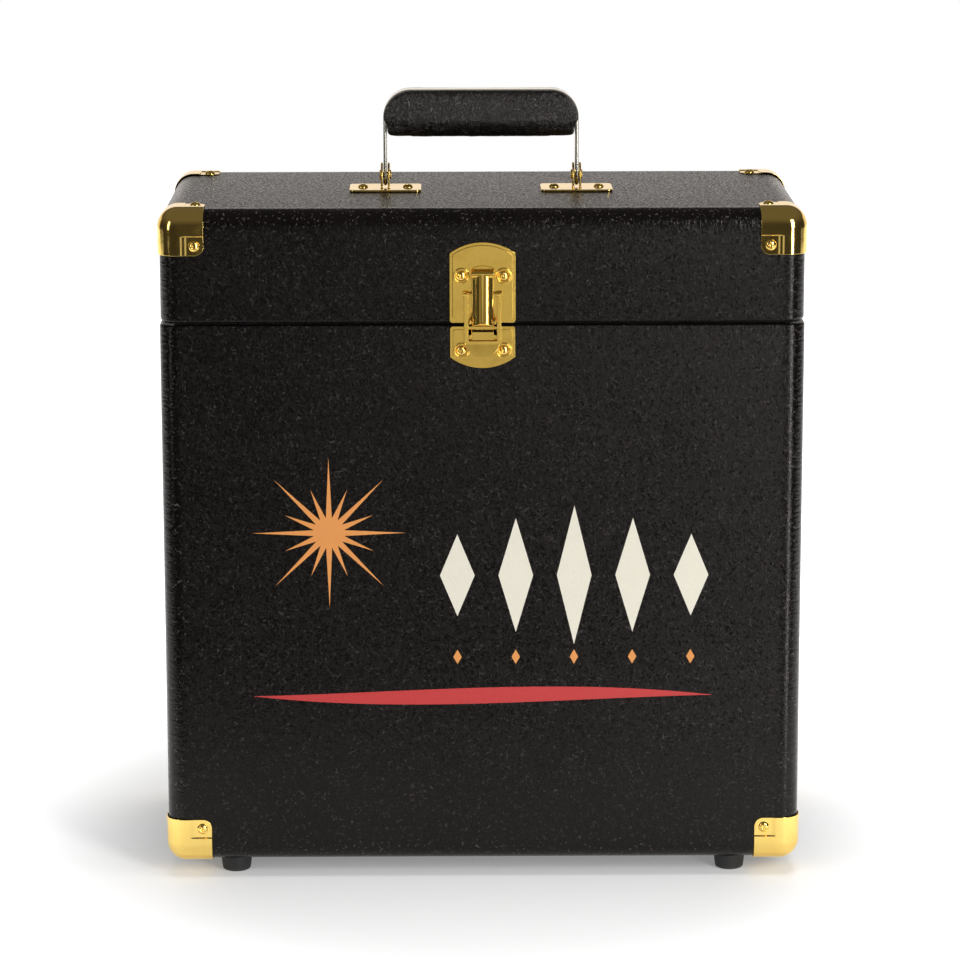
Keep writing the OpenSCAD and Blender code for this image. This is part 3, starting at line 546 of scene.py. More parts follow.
def screw_seats(node):
    """Each screw of a CAD group: its head's base, the way out, its head's radius and height, its length"""
    bm = cad_shape(node)
    seats = []
    for part in loose_parts(bm):
        low = Vector([min(v.co[i] for v in part) for i in range(3)])
        high = Vector([max(v.co[i] for v in part) for i in range(3)])
        size = high - low
        along = max(range(3), key=lambda i: size[i])
        across = (along + 1) % 3
        radius = size[across] / 2
        middle = (low + high) / 2
        wide = [v.co[along] for v in part if abs(v.co[across] - middle[across]) > 0.97 * radius]
        at_top = abs(max(wide) - high[along]) < abs(min(wide) - low[along])
        out = Vector((0, 0, 0))
        out[along] = 1 if at_top else -1
        base = middle.copy()
        base[along] = min(wide) if at_top else max(wide)
        tip = high[along] if at_top else low[along]
        seats.append((base, out, radius, abs(tip - base[along]), size[along]))
    bm.free()
    return seats


def seat_frame(base, out):
    """The move and turn that stand a shape drawn upright on a screw's seat"""
    return Matrix.Translation(base) @ out.to_track_quat("Z", "Y").to_matrix().to_4x4()


# ---------- covering, lining and print ----------

COVER_RELIEF = 0.12 * MM
BODY_ROLL, BODY_FLANGE = 1.2 * MM, 7.85 * MM
LID_ROLL, LID_FLANGE = 2.2 * MM, 6.85 * MM
PRINT_LIFT, PRINT_THICK = 0.06 * MM, 0.05 * MM
DIAMOND_X, DIAMOND_PITCH = -14, 32


def corner_of(point, low, high, radius):
    """The nearest point of a rounded rectangle's inner core, in plan, and the way out from it"""
    core = Vector((
        min(max(point.x, low.x + radius), high.x - radius),
        min(max(point.y, low.y + radius), high.y - radius),
        0,
    ))
    out = Vector((point.x, point.y, 0)) - core
    return core, out.normalized()


def covered_box(low, high, radius, rim_roll, flange, open_up):
    """A box skin with rounded edges, open at the seam, whose rim rolls in over the boards' ends"""
    rim = high.z if open_up else low.z
    away = 1 if open_up else -1
    bottom = Vector((low.x, low.y, low.z - (0 if open_up else 3 * radius)))
    top = Vector((high.x, high.y, high.z + (3 * radius if open_up else 0)))
    bm = bmesh.new()
    size = Matrix.Diagonal((*(top - bottom), 1.0))
    bmesh.ops.create_cube(bm, size=1.0, matrix=Matrix.Translation((top + bottom) / 2) @ size)
    bmesh.ops.bevel(
        bm, geom=bm.edges[:], offset=radius, affect="EDGES", segments=12, profile=0.5, material=-1,
        clamp_overlap=False,
    )
    cut = rim - away * rim_roll
    bmesh.ops.bisect_plane(
        bm, geom=bm.verts[:] + bm.edges[:] + bm.faces[:], plane_co=(0, 0, cut), plane_no=(0, 0, away),
        clear_outer=True,
    )
    edges = [e for e in bm.edges if e.is_boundary]
    turns = [math.radians(a) for a in (15, 30, 45, 60, 75, 90)]
    path = [(rim_roll * (1 - math.cos(a)), rim_roll * math.sin(a)) for a in turns] + [(flange, rim_roll)]
    for inset, rise in path:
        made = bmesh.ops.extrude_edge_only(bm, edges=edges)["geom"]
        edges = [g for g in made if isinstance(g, bmesh.types.BMEdge)]
        for vertex in (g for g in made if isinstance(g, bmesh.types.BMVert)):
            core, out = corner_of(vertex.co, low, high, radius)
            vertex.co = core + out * (radius - inset)
            vertex.co.z = cut + away * rise
    bmesh.ops.recalc_face_normals(bm, faces=bm.faces)
    return bm


def build_coverings(covering):
    """The leatherette skins of body and lid"""
    pebble = covering.grain / MM
    middle = (BODY_LOW.z + LID_HIGH.z) / 2 / MM
    half = (BODY_HIGH.x / MM, BODY_HIGH.y / MM, (LID_HIGH.z - BODY_LOW.z) / 2 / MM)
    leather = leatherette("Leatherette", covering.black, pebble, COVER_RELIEF, edges=(half, middle))
    body = covered_box(BODY_LOW, BODY_HIGH, covering.edge_radius, BODY_ROLL, BODY_FLANGE, True)
    piece = add_piece("body_leatherette", body, leather, "case_body", "leatherette", "body_covering")
    thicken(piece, covering.sheet)
    lid = covered_box(LID_LOW, LID_HIGH, covering.edge_radius, LID_ROLL, LID_FLANGE, False)
    piece = add_piece("lid_leatherette", lid, leather, "lid", "leatherette", "lid_covering")
    thicken(piece, covering.sheet)


def build_interior(covering):
    """The cloth lining and floor pad of the body, the paper inside the lid and the boards"""
    cloth = lining_weave("Lining cloth", covering.cloth)
    for side in ("front", "back", "left", "right"):
        stamped(f"body_lining_{side}", cloth, "case_body", "lining_cloth", 0.35 * MM)
    felt = lining_weave("Floor felt", times(0.8, covering.cloth), pitch=0.35)
    stamped("body_floor_pad", felt, "case_body", "lining_cloth", 0.3 * MM)
    boards = fibreboard("Fibreboard")
    for node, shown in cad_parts.items():
        if node.endswith("_board"):
            shown.data.materials.clear()
            shown.data.materials.append(boards)
    left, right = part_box("lid_left_board")[1].x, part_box("lid_right_board")[0].x
    front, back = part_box("lid_front_board")[1].y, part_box("lid_back_board")[0].y
    ceiling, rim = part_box("lid_top_board")[0].z, LID_LOW.z + 0.9 * MM
    bm = bmesh.new()
    middle = Vector(((left + right) / 2, (front + back) / 2, (ceiling + rim) / 2))
    gap = 0.02 * MM
    size = Matrix.Diagonal((right - left - gap, back - front - gap, ceiling - rim - gap, 1))
    bmesh.ops.create_cube(bm, size=1.0, matrix=Matrix.Translation(middle) @ size)
    floor = [f for f in bm.faces if f.normal.z < -0.9]
    bmesh.ops.delete(bm, geom=floor, context="FACES_ONLY")
    bmesh.ops.bevel(
        bm, geom=[e for e in bm.edges if not e.is_boundary], offset=1.2 * MM, affect="EDGES", segments=4,
        profile=0.5, material=-1,
    )
    paper = add_piece("lid_paper_lining", bm, black_paper("Lid paper"), "lid", "lining_cloth")
    thicken(paper, 0.22 * MM)


def on_front(bm, points, x, z):
    """Stands a flat shape drawn in plan up against the body's front, as far out as its ink is thick"""
    spot = Matrix.Translation((x, BODY_LOW.y - PRINT_LIFT, z)) @ Matrix.Rotation(math.radians(90), 4, "X")
    bmesh.ops.transform(bm, matrix=spot, verts=points)


def lozenge(bm, x, z, width, height):
    made = bmesh.ops.create_circle(bm, cap_ends=True, segments=4, radius=0.5)["verts"]
    bmesh.ops.scale(bm, vec=(width, height, 1), verts=made)
    on_front(bm, made, x, z)


def starburst(bm, x, z, reach, rays, waist, second):
    """A star of tapered rays, every other one shorter"""
    made = bmesh.ops.create_circle(bm, cap_ends=True, segments=4 * rays, radius=reach)["verts"]
    for number, point in enumerate(made):
        point.co *= (1.0, waist, second, waist)[number % 4]
    on_front(bm, made, x, z)


def swash(bm, x, z, length, height, lean):
    """A long bar that swells in the middle and runs out to points"""
    made = bmesh.ops.create_grid(bm, x_segments=36, y_segments=1, size=0.5)["verts"]
    for point in made:
        share = 2 * point.co.x
        point.co.y = point.co.y * height * max(0.02, (1 - share * share)) + lean * share * (1 - share * share)
        point.co.x *= length
    on_front(bm, made, x, z)


def build_print(covering):
    """A plain ornament on the front: a star, lozenges over small diamonds, and a tapered bar"""
    orange = printed_ink("Orange ink", covering.orange, covering)
    cream = printed_ink("Cream ink", covering.cream, covering)
    red = printed_ink("Red ink", covering.red, covering)
    bm = bmesh.new()
    starburst(bm, -84 * MM, 196 * MM, 42 * MM, 8, 0.2, 0.62)
    for number in range(5):
        lozenge(bm, (DIAMOND_X + DIAMOND_PITCH * number) * MM, 126 * MM, 4.6 * MM, 8.2 * MM)
    add_print("print_orange", bm, orange)
    bm = bmesh.new()
    for number, height in enumerate((46, 64, 78, 64, 46)):
        lozenge(bm, (DIAMOND_X + DIAMOND_PITCH * number) * MM, 172 * MM, 19 * MM, height * MM)
    add_print("print_cream", bm, cream)
    bm = bmesh.new()
    swash(bm, 0, 104 * MM, 252 * MM, 9 * MM, 3.2 * MM)
    add_print("print_red", bm, red)


def add_print(name, bm, ink):
    bmesh.ops.recalc_face_normals(bm, faces=bm.faces)
    for face in bm.faces:
        if face.normal.y > 0:
            face.normal_flip()
    piece = add_piece(name, bm, ink, "case_body", "leatherette")
    piece.data.shade_flat()
    thicken(piece, PRINT_THICK)


# ---------- guards and screws ----------

PAD_HEIGHT, RAISED_HEIGHT = 0.55 * MM, 1.05 * MM
GUARD_SIZE, GUARD_FREE_RADIUS = 24.5 * MM, 5 * MM
PAD_STEP, PAD_SLOPE_FROM, PAD_SLOPE_TO = 14 * MM, 12 * MM, 15.2 * MM
CROSS_WALLS, CROSS_REACH, CROSS_SLOPE = (0.105, 0.16), 0.62, 0.2
CROSS_DEPTH = 0.34
HEAD_SKIRT, DOME_EDGE = 0.12 * MM, 0.06


def ease(value, low, high):
    share = min(max((value - low) / (high - low), 0.0), 1.0)
    return share * share * (3 - 2 * share)


def guard_lines(radius):
    """Where the lines of a flange's grid run, from the case's edge to the free edge"""
    lines = [radius * (1 - math.tan(math.radians(45 - 5 * k))) for k in range(9)]
    flat = (
        10.0, 10.9, 11.6, 12, 12.4, 13, 13.6, 13.86, 13.95,
        14.05, 14.14, 14.5, 14.9, 15.3, 16.2, 17.3, 18.4, 19.5,
    )
    lines += [x * MM for x in flat]
    return lines + [GUARD_SIZE - GUARD_FREE_RADIUS * (1 - k / 9) for k in range(1, 10)]


def guard_place(face, u, v, radius):
    """The point of the guard's outer skin for a place on one of its three flanges"""
    along, across = u, v
    s = (u - GUARD_SIZE + GUARD_FREE_RADIUS) / GUARD_FREE_RADIUS
    t = (v - GUARD_SIZE + GUARD_FREE_RADIUS) / GUARD_FREE_RADIUS
    if s > 0 and t > 0:
        along = GUARD_SIZE - GUARD_FREE_RADIUS * (1 - s * math.sqrt(1 - t * t / 2))
        across = GUARD_SIZE - GUARD_FREE_RADIUS * (1 - t * math.sqrt(1 - s * s / 2))
    pad = ease(along, PAD_STEP - 0.12 * MM, PAD_STEP + 0.12 * MM) * ease(across, PAD_SLOPE_FROM, PAD_SLOPE_TO)
    height = RAISED_HEIGHT + (PAD_HEIGHT - RAISED_HEIGHT) * pad
    flat = Vector((along, across, 0))
    core = Vector((max(along, radius), max(across, radius), radius))
    out = (flat - core).normalized()
    place = core + out * (radius + height)
    for _ in range(face):
        place = Vector((place.z, place.x, place.y))
    return place


def guard_skin(radius):
    """One guard in its corner's own frame: three gridded flanges wrapped round the corner and welded"""
    bm = bmesh.new()
    for face in range(3):
        for point, u, v in line_grid(bm, guard_lines(radius)):
            point.co = guard_place(face, u, v, radius)
    bmesh.ops.remove_doubles(bm, verts=bm.verts, dist=0.01 * MM)
    return bm


def build_guards(metal, radius):
    """The eight pressed corner guards"""
    brass = plated_brass("Guard brass", metal, metal.roughness, wave=0.03)
    levels = {"bottom": ("case_body", BODY_LOW, BODY_HIGH), "top": ("lid", LID_LOW, LID_HIGH)}
    for level, (body, low, high) in levels.items():
        up = 1 if level == "bottom" else -1
        for end, y in ENDS.items():
            for side, x in SIDES.items():
                bm = guard_skin(radius)
                corner = Vector((
                    low.x if x == LEFT else high.x,
                    low.y if y == FRONT else high.y,
                    low.z if level == "bottom" else high.z,
                ))
                mirrored = Matrix.Diagonal((-x, -y, up, 1))
                bmesh.ops.transform(bm, matrix=Matrix.Translation(corner) @ mirrored, verts=bm.verts)
                bmesh.ops.recalc_face_normals(bm, faces=bm.faces)
                centre = corner - Vector((x, y, -up)) * 0.05
                if sum((f.calc_center_median() - centre).dot(f.normal) for f in bm.faces) < 0:
                    bmesh.ops.reverse_faces(bm, faces=bm.faces)
                node = f"{level}_guard_{end}_{side}"
                piece = add_piece(f"{node}_shown", bm, brass, body, "polished_brass", node)
                thicken(piece, metal.guard_sheet)
                round_edges(piece, 0.2 * MM, above=60)


def screw_lines():
    """Lattice lines across a screw's head, close together at the walls of the cross recess"""
    half = (0.05, 0.1, 0.125, 0.16, 0.24, 0.34, 0.44, 0.54, 0.6, 0.7, 0.8, 0.88, 0.95, 1.0)
    return [-x for x in reversed(half)] + [0.0] + list(half)


def cross_depth(x, y):
    """Depth of the cross recess, as a share of its depth at the middle"""
    def arm(far, near):
        wall = 1 - ease(abs(near), *CROSS_WALLS)
        end = min(1.0, max(0.0, (CROSS_REACH - abs(far)) / CROSS_SLOPE))
        return wall * end * (1 - 0.35 * abs(far) / 0.6)
    return max(arm(x, y), arm(y, x))


def screw_head(bm, spot, radius, height, length, turn):
    """One screw: a domed head with a cross recess, closed underneath, and the shank below it"""
    placed = line_grid(bm, screw_lines())
    grid = [point for point, _, _ in placed]
    edge = math.sqrt(DOME_EDGE)
    for point, s, t in placed:
        x, y = s * math.sqrt(1 - t * t / 2), t * math.sqrt(1 - s * s / 2)
        dome = math.sqrt(max(0.0, 1 - (1 - DOME_EDGE) * (x * x + y * y))) - edge
        z = (height - HEAD_SKIRT) * dome / (1 - edge) - CROSS_DEPTH * radius * cross_depth(s, t)
        point.co = Vector((x * radius, y * radius, z + HEAD_SKIRT))
    rim = [e for e in bm.edges if e.is_boundary and e.verts[0] in set(grid)]
    made = bmesh.ops.extrude_edge_only(bm, edges=rim)["geom"]
    skirt = [g for g in made if isinstance(g, bmesh.types.BMVert)]
    for point in skirt:
        point.co.z = 0
    under = [g for g in made if isinstance(g, bmesh.types.BMEdge) and g.is_boundary]
    bmesh.ops.edgeloop_fill(bm, edges=under)
    shank = bmesh.ops.create_cone(
        bm, cap_ends=True, segments=16, radius1=0.12 * radius, radius2=0.43 * radius, depth=length - height,
    )["verts"]
    bmesh.ops.translate(bm, vec=(0, 0, -(length - height) / 2), verts=shank)
    points = grid + skirt + shank
    bmesh.ops.transform(bm, matrix=spot @ Matrix.Rotation(turn, 4, "Z"), verts=points)


def screws(node, body, brass):
    """All the screws of one CAD group, each turned its own way"""
    bm = bmesh.new()
    for number, (base, out, radius, height, length) in enumerate(screw_seats(node)):
        turn = math.radians((37 * number + 11 * len(node)) % 90)
        screw_head(bm, seat_frame(base, out), radius, max(height, 0.25 * MM), length, turn)
    bmesh.ops.recalc_face_normals(bm, faces=bm.faces)
    piece = add_piece(f"{node}_shown", bm, brass, body, "brass_screws", node)
    piece.data.set_sharp_from_angle(angle=math.radians(50))


def build_screws(metal):
    """Every screw of the case, with its cross recess"""
    brass = plated_brass("Screw brass", metal, metal.roughness + 0.06, wave=0.004, scratch=0.5)
    for node in ("foot_screws", "bottom_guard_screws", "keeper_screws"):
        screws(node, "case_body", brass)
    for node in ("top_guard_screws", "latch_base_screws", "handle_bracket_screws"):
        screws(node, "lid", brass)
    stamped("hinge_body_screws", brass, "case_body", "brass_screws", 0.12 * MM)
    stamped("hinge_lid_screws", brass, "lid", "brass_screws", 0.12 * MM)


# ---------- latch, hinges, handle and feet ----------

RIM_THICK, RIM_OUT, RIM_RISE = 0.36 * MM, 1.15 * MM, 0.34 * MM
BAND_BEND, BAND_THICK = 15.5 * MM, 2 * MM
GRIP_GAP, GRIP_VOXEL = 0.1 * MM, 1.5 * MM
SWELL_PRESSURE, SWELL_REACH, SWELL_FRAMES = 4, 0.7 * MM, 20


def dimple_rims(name, screws_node, body, brass):
    """The raised rim of the pressed dimple in which each screw of the latch sits"""
    bm = bmesh.new()
    for base, out, radius, _, _ in screw_seats(screws_node):
        section = bmesh.ops.create_circle(bm, segments=12, radius=RIM_THICK)["verts"]
        upright = Matrix.Rotation(math.radians(90), 4, "X")
        beside = Matrix.Translation((radius + RIM_OUT, 0, RIM_RISE))
        bmesh.ops.transform(bm, matrix=beside @ upright, verts=section)
        edges = list({e for v in section for e in v.link_edges})
        before = set(bm.verts) - set(section)
        bmesh.ops.spin(
            bm, geom=section + edges, cent=(0, 0, 0), axis=(0, 0, 1), dvec=(0, 0, 0), angle=2 * math.pi,
            steps=40, use_merge=True,
        )
        ring = [v for v in bm.verts if v not in before]
        bmesh.ops.transform(bm, matrix=seat_frame(base, out), verts=ring)
    bmesh.ops.recalc_face_normals(bm, faces=bm.faces)
    return add_piece(name, bm, brass, body, "polished_brass")


def build_latch(metal):
    """The draw latch: base plate, lever, loop, keeper and pins"""
    brass = plated_brass(
        "Latch brass", metal, metal.roughness + 0.07, wave=0.008, scratch=0.12, tint=(1, 0.93, 0.68)
    )
    stamped("latch_base_plate", brass, "lid", "polished_brass", 0.2 * MM)
    stamped("latch_keeper", brass, "case_body", "polished_brass", 0.12 * MM, whole=False)
    dimple_rims("latch_base_rims", "latch_base_screws", "lid", brass)
    dimple_rims("latch_keeper_rims", "keeper_screws", "case_body", brass)
    stamped("latch_lever", brass, "latch_lever", "polished_brass", 0.25 * MM)
    stamped("latch_loop", brass, "latch_loop", "polished_brass", 0.2 * MM)
    stamped("latch_lever_pin", brass, "lid", "brass_screws", 0.15 * MM)
    stamped("latch_loop_pin", brass, "loop_pin", "brass_screws", 0.15 * MM)


def build_hinges(metal):
    """The two stop hinges at the back"""
    brass = plated_brass("Hinge brass", metal, metal.roughness + 0.08, wave=0.02, scratch=0.6)
    for side in SIDES:
        stamped(f"hinge_{side}_body_leaf", brass, "case_body", "polished_brass", metal.edge)
        stamped(f"hinge_{side}_lid_leaf", brass, "lid", "polished_brass", metal.edge)
        stamped(f"hinge_{side}_pin", brass, "case_body", "brass_screws", metal.edge)


def build_handle(metal):
    """The sprung band, its two brackets and their rivets"""
    brass = plated_brass("Handle brass", metal, metal.roughness + 0.02, wave=0.015, scratch=0.35)
    pale = plated_brass("Band plating", metal, metal.roughness + 0.05, wave=0.01, tint=(0.68, 0.93, 2.9))
    stamped("handle_band", pale, "handle", "polished_brass", 0.85 * MM, segments=4)
    for side in SIDES:
        stamped(f"handle_bracket_{side}", brass, "lid", "polished_brass", 0.42 * MM)
        stamped(f"handle_rivet_{side}", brass, "lid", "brass_screws", metal.edge)


def build_feet():
    """Four rubber feet"""
    rubber = foot_rubber("Foot rubber")
    for end in ENDS:
        for side in SIDES:
            stamped(f"foot_{end}_{side}", rubber, "case_body", "foot_rubber", 1.1 * MM, segments=5)


def swell(piece):
    """Puffs a closed skin up as stuffing would, by a short cloth simulation whose reach is capped"""
    start = [v.co.copy() for v in piece.data.vertices]
    cloth = piece.modifiers.new("Swell", "CLOTH")
    cloth.settings.use_pressure = True
    cloth.settings.uniform_pressure_force = SWELL_PRESSURE
    cloth.settings.effector_weights.gravity = 0
    cloth.settings.tension_stiffness = 8
    cloth.settings.bending_stiffness = 0.4
    cloth.point_cache.frame_start = 1
    cloth.point_cache.frame_end = SWELL_FRAMES
    for moment in range(1, SWELL_FRAMES + 1):
        bpy.context.scene.frame_set(moment)
    apply_modifiers(piece)
    for vertex, at in zip(piece.data.vertices, start):
        step = vertex.co - at
        if step.length > SWELL_REACH:
            vertex.co = at + step * (SWELL_REACH / step.length)
    bpy.context.scene.frame_set(1)


def build_grip(covering):
    """The padded grip under the band, swelled by a short cloth simulation and then creased"""
    # the grip gets only a few pale strokes of painted highlight
    leather = leatherette(
        "Grip leatherette", covering.black, 1.4, 0.2 * MM, gloss=0.14, specular=0.6, glint_amount=0.1, wrinkles=1.1
    )
    shape = cad_shape("handle_grip")
    piece = add_piece("grip_padded", shape, leather, "handle", "grip_leatherette", "handle_grip")
    low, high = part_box("handle_grip")
    half_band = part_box("handle_band")[1].y + 0.35 * MM
    remesh = piece.modifiers.new("Even mesh", "REMESH")
    remesh.mode = "VOXEL"
    remesh.voxel_size = GRIP_VOXEL
    apply_modifiers(piece)
    swell(piece)
    bm = bmesh.new()
    bm.from_mesh(piece.data)
    for _ in range(3):
        bmesh.ops.smooth_vert(
            bm, verts=bm.verts, factor=0.5, use_axis_x=True, use_axis_y=True, use_axis_z=True
        )
    bmesh.ops.subdivide_edges(bm, edges=bm.edges, cuts=1, use_grid_fill=True)
    bm.normal_update()
    for vertex in bm.verts:
        at = vertex.co / MM
        fold = noise.noise(Vector((at.x * 0.14, at.y * 0.26, at.z * 0.26)))
        crease = 1 - abs(noise.noise(Vector((at.x * 0.42 + 9, at.y * 0.3, at.z * 0.3)))) * 2.6
        lift = 0.25 * fold - 0.2 * max(0.0, crease) ** 5
        vertex.co += vertex.normal * lift * MM
        wrap_band(vertex.co, low, high, half_band)
    bm.to_mesh(piece.data)
    bm.free()
    piece.data.shade_smooth()


def wrap_band(at, low, high, half_band):
    """Keeps a point of the grip out of the band, and beside the band brings it up flush with its outside"""
    inner_r = BAND_BEND - BAND_THICK
    centre = Vector((max(inner_r - high.x, min(high.x - inner_r, at.x)), at.y, min(high.z - inner_r, at.z)))
    out = at - centre
    reach = out.length
    if reach < 1e-6:
        return
    beside = ease(abs(at.y), half_band - 0.2 * MM, half_band + 0.9 * MM)
    upper = ease(at.z, low.z + 4 * MM, low.z + 11 * MM)
    flush = ease(reach, inner_r - 8 * MM, inner_r - 0.5 * MM)
    grown = reach + beside * upper * flush * (BAND_THICK + GRIP_GAP + (inner_r - reach) * 0.75)
    grown = min(grown, inner_r - GRIP_GAP + beside * upper * (BAND_THICK - GRIP_GAP))
    side = centre + out * (grown / reach)
    at.x, at.z = side.x, max(side.z, low.z)
    at.y = min(max(at.y, low.y), high.y)


def apply_modifiers(piece):
    """Bakes a piece's modifiers into its mesh"""
    bpy.context.view_layer.update()
    shaped = piece.evaluated_get(bpy.context.evaluated_depsgraph_get())
    mesh = bpy.data.meshes.new_from_object(shaped)
    materials = list(piece.data.materials)
    piece.modifiers.clear()
    piece.data = mesh
    piece.data.materials.clear()
    for material in materials:
        piece.data.materials.append(material)


# ---------- stage ----------

# each lamp's name, place and target, width and height in metres, watts, and whether gloss shows it
LAMPS = (
    ("main_lamp", (1.15, -1.75, 0.95), (0, 0, 0.2), 0.5, 1.3, 25, True),
    ("top_lamp", (0.15, 0.05, 1.9), (0, 0, 0.2), 1.2, 0.9, 20, False),
    ("side_lamp", (-1.5, -1.25, 0.75), (0, 0, 0.2), 0.25, 1.2, 5, True),
    ("edge_strip", (1.15, -1.75, -0.1), (0, 0, 0.1), 0.34, 1.3, 14, True),
    ("front_card", (0, -1.3, 0.31), (0, 0, 0.31), 0.36, 0.62, 0.37, True),
)
TABLE_PLACE, TABLE_SIZE = (0, 1.35, -0.0002), (5, 3.3, 1, 1)


def floor_finish():
    """Pale table top that the camera sees as white where no shadow falls"""
    paint = Paint("Table")
    camera, glossy, through = paint.rays("Camera", "Glossy", "Transmission")
    looked_at = camera.at_least(glossy).at_least(through)
    mottle = paint.noise(paint.place(), 3, detail=2.0)
    shade = paint.blend(mottle, (0.80, 0.80, 0.80), (0.82, 0.82, 0.82))
    paint.shade(shade, 0.75)
    surface = Wire(paint, paint.output.inputs["Surface"].links[0].from_socket)
    at = paint.place(scale=1.0, stretch=(1, 0.8, 1))
    away = paint.node("VectorMath", {"operation": "LENGTH"}, at, out=1)
    glow = paint.node("Emission", None, (1, 1, 1, 1), 0.22 + 0.85 * away.step(0.15, 0.43))
    both = paint.node("AddShader", None, surface, glow)
    paint.show(paint.node("MixShader", None, looked_at, surface, both))
    return paint.material


def light_world():
    """White to the camera; to metal and gloss a low white backdrop behind and a dim room in front"""
    world = bpy.data.worlds.new("Studio")
    paint = Nodes(world, "ShaderNodeOutputWorld")
    camera, glossy, through = paint.rays("Camera", "Glossy", "Transmission")
    ahead = paint.node("TexCoord", out=0)
    y = paint.node("SeparateXYZ", None, ahead, out=1)
    z = paint.node("SeparateXYZ", None, ahead, out=2)
    backdrop = y.step(0.3, 0.6) * (1 - z.step(0.27, 0.42))
    room = 0.04 + 0.1 * z.step(0.1, 0.8) + 0.3 * (1 - z.step(-0.6, -0.2))
    gloss = backdrop.at_least(room)
    level = paint.blend(glossy, (0.3, 0.3, 0.3), paint.blend(gloss, (0, 0, 0), (1, 0.93, 0.88)))
    level = paint.blend(camera.at_least(through), level, (1, 1, 1))
    paint.show(paint.node("Background", None, level, 1.0))
    bpy.context.scene.world = world


def soft_lamp(name, at, towards, wide, tall, power, glossy):
    """A soft box: an upright rectangle, or a level one overhead"""
    lamp = bpy.data.lights.new(name, "AREA")
    lamp.shape = "RECTANGLE"
    lamp.size = wide
    lamp.size_y = tall
    lamp.energy = power
    holder = bpy.data.objects.new(name, lamp)
    holder.location = at
    holder.rotation_euler = (Vector(towards) - Vector(at)).to_track_quat("-Z", "Y").to_euler()
    holder.visible_camera = False
    holder.visible_glossy = glossy
    bpy.context.scene.collection.objects.link(holder)


def build_stage(stage):
    """Table, world, lamps and camera"""
    bm = bmesh.new()
    bmesh.ops.create_grid(bm, x_segments=8, y_segments=8, size=0.5)
    spot = Matrix.Translation(TABLE_PLACE) @ Matrix.Diagonal(TABLE_SIZE)
    bmesh.ops.transform(bm, matrix=spot, verts=bm.verts)
    mesh = bpy.data.meshes.new("table")
    bm.to_mesh(mesh)
    bm.free()
    mesh.materials.append(floor_finish())
    table = bpy.data.objects.new("table", mesh)
    bpy.context.scene.collection.objects.link(table)
    light_world()
    for lamp in LAMPS:
        soft_lamp(*lamp)
    lens = bpy.data.cameras.new("camera")
    lens.lens = stage.lens
    lens.sensor_width = 36
    lens.clip_start = 0.05
    lens.clip_end = 30
    camera = bpy.data.objects.new("camera", lens)
    turned = Matrix.Rotation(-stage.yaw, 4, "Z") @ Matrix.Rotation(math.radians(90) - stage.pitch, 4, "X")
    camera.matrix_world = Matrix.Translation(stage.camera_at) @ turned @ Matrix.Rotation(stage.roll, 4, "Z")
    bpy.context.scene.collection.objects.link(camera)
    bpy.context.scene.camera = camera
    bpy.context.scene.view_settings.view_transform = "Standard"


# ---------- the add-on ----------


class RECORDCASE_OT_coverings(bpy.types.Operator):
    """Cover the body and the lid with leatherette"""

    bl_idname = "record_case.coverings"
    bl_label = "Leatherette"

    def execute(self, context):
        build_coverings(context.scene.case_covering)
        return {"FINISHED"}


class RECORDCASE_OT_print(bpy.types.Operator):
    """Print the ornament on the front"""

    bl_idname = "record_case.ornament"
    bl_label = "Print"

    def execute(self, context):
        build_print(context.scene.case_covering)
        return {"FINISHED"}


class RECORDCASE_OT_interior(bpy.types.Operator):
    """Line the body and the lid"""

    bl_idname = "record_case.interior"
    bl_label = "Lining and boards"

    def execute(self, context):
        build_interior(context.scene.case_covering)
        return {"FINISHED"}


class RECORDCASE_OT_guards(bpy.types.Operator):
    """Put the pressed guards on the eight corners"""

    bl_idname = "record_case.guards"
    bl_label = "Corner guards"

    def execute(self, context):
        build_guards(context.scene.case_metal, context.scene.case_covering.edge_radius)
        return {"FINISHED"}


class RECORDCASE_OT_screws(bpy.types.Operator):
    """Drive the screws"""

    bl_idname = "record_case.screws"
    bl_label = "Screws"

    def execute(self, context):
        build_screws(context.scene.case_metal)
        return {"FINISHED"}


class RECORDCASE_OT_latch(bpy.types.Operator):
    """Fit the draw latch"""

    bl_idname = "record_case.latch"
    bl_label = "Latch"

    def execute(self, context):
        build_latch(context.scene.case_metal)
        return {"FINISHED"}


class RECORDCASE_OT_hinges(bpy.types.Operator):
    """Fit the two hinges"""

    bl_idname = "record_case.hinges"
    bl_label = "Hinges"

    def execute(self, context):
        build_hinges(context.scene.case_metal)
        return {"FINISHED"}


class RECORDCASE_OT_handle(bpy.types.Operator):
    """Fit the handle's band and brackets"""

    bl_idname = "record_case.handle"
    bl_label = "Handle"

    def execute(self, context):
        build_handle(context.scene.case_metal)
        return {"FINISHED"}


class RECORDCASE_OT_grip(bpy.types.Operator):
    """Pad and cover the grip"""

    bl_idname = "record_case.grip"
    bl_label = "Grip"

    def execute(self, context):
        build_grip(context.scene.case_covering)
        return {"FINISHED"}


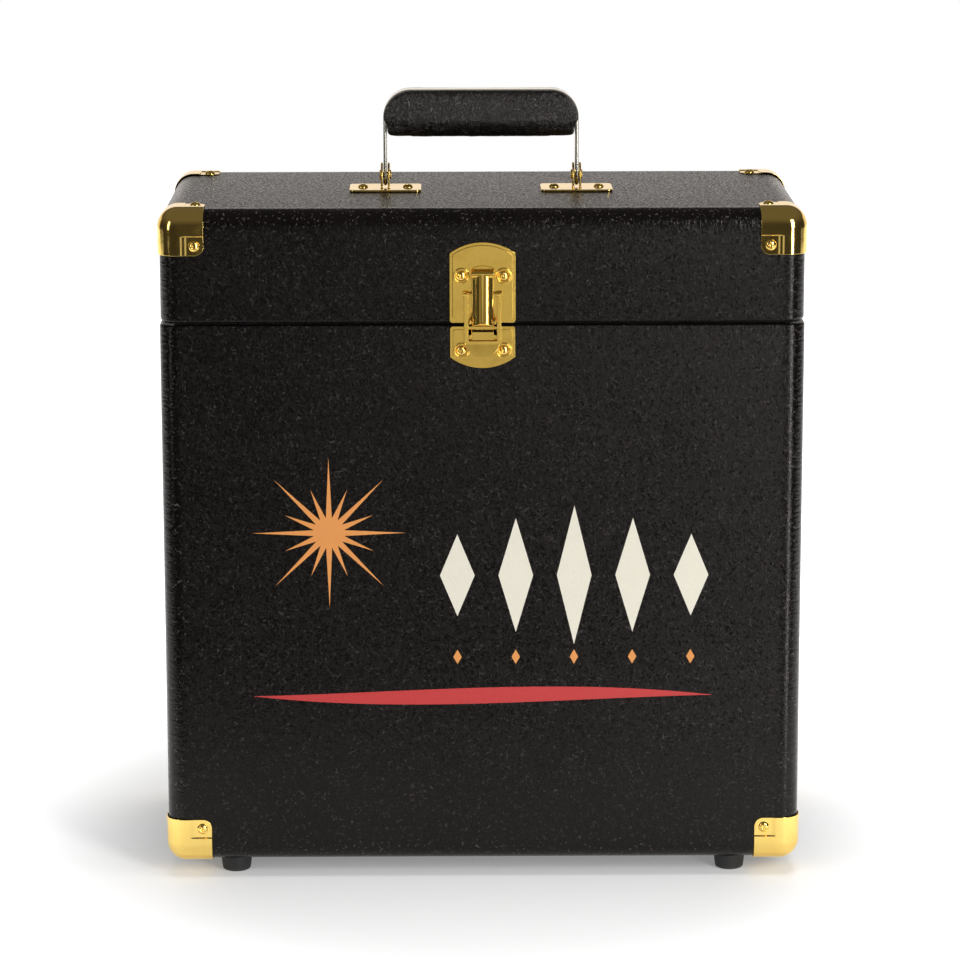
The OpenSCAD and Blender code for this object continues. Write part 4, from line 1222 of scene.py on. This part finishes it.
class RECORDCASE_OT_feet(bpy.types.Operator):
    """Fit the rubber feet"""

    bl_idname = "record_case.feet"
    bl_label = "Feet"

    def execute(self, context):
        build_feet()
        return {"FINISHED"}


class RECORDCASE_OT_stage(bpy.types.Operator):
    """Set up the table, the lamps and the camera"""

    bl_idname = "record_case.stage"
    bl_label = "Stage"

    def execute(self, context):
        build_stage(context.scene.case_stage)
        return {"FINISHED"}


STEPS = (
    RECORDCASE_OT_coverings,
    RECORDCASE_OT_print,
    RECORDCASE_OT_interior,
    RECORDCASE_OT_guards,
    RECORDCASE_OT_screws,
    RECORDCASE_OT_latch,
    RECORDCASE_OT_hinges,
    RECORDCASE_OT_handle,
    RECORDCASE_OT_grip,
    RECORDCASE_OT_feet,
    RECORDCASE_OT_stage,
)


class RECORDCASE_PT_panel(bpy.types.Panel):
    """Lists the sizes, the colours and the steps in the 3D view's sidebar"""

    bl_idname = "RECORDCASE_PT_panel"
    bl_label = "Record carrying case"
    bl_space_type = "VIEW_3D"
    bl_region_type = "UI"
    bl_category = "Record case"

    def draw(self, context):
        for group in (context.scene.case_covering, context.scene.case_metal, context.scene.case_stage):
            box = self.layout.box()
            for name in group.__annotations__:
                box.prop(group, name)
        for step in STEPS:
            self.layout.operator(step.bl_idname)


GROUPS = (CaseCovering, CaseMetal, CaseStage)


def register():
    for kind in GROUPS + STEPS + (RECORDCASE_PT_panel,):
        bpy.utils.register_class(kind)
    bpy.types.Scene.case_covering = PointerProperty(type=CaseCovering)
    bpy.types.Scene.case_metal = PointerProperty(type=CaseMetal)
    bpy.types.Scene.case_stage = PointerProperty(type=CaseStage)


def unregister():
    del bpy.types.Scene.case_covering
    del bpy.types.Scene.case_metal
    del bpy.types.Scene.case_stage
    for kind in reversed(GROUPS + STEPS + (RECORDCASE_PT_panel,)):
        bpy.utils.unregister_class(kind)


def main():
    register()
    for step in STEPS:
        getattr(bpy.ops.record_case, step.bl_idname.split(".")[1])()


if __name__ == "__main__":
    main()
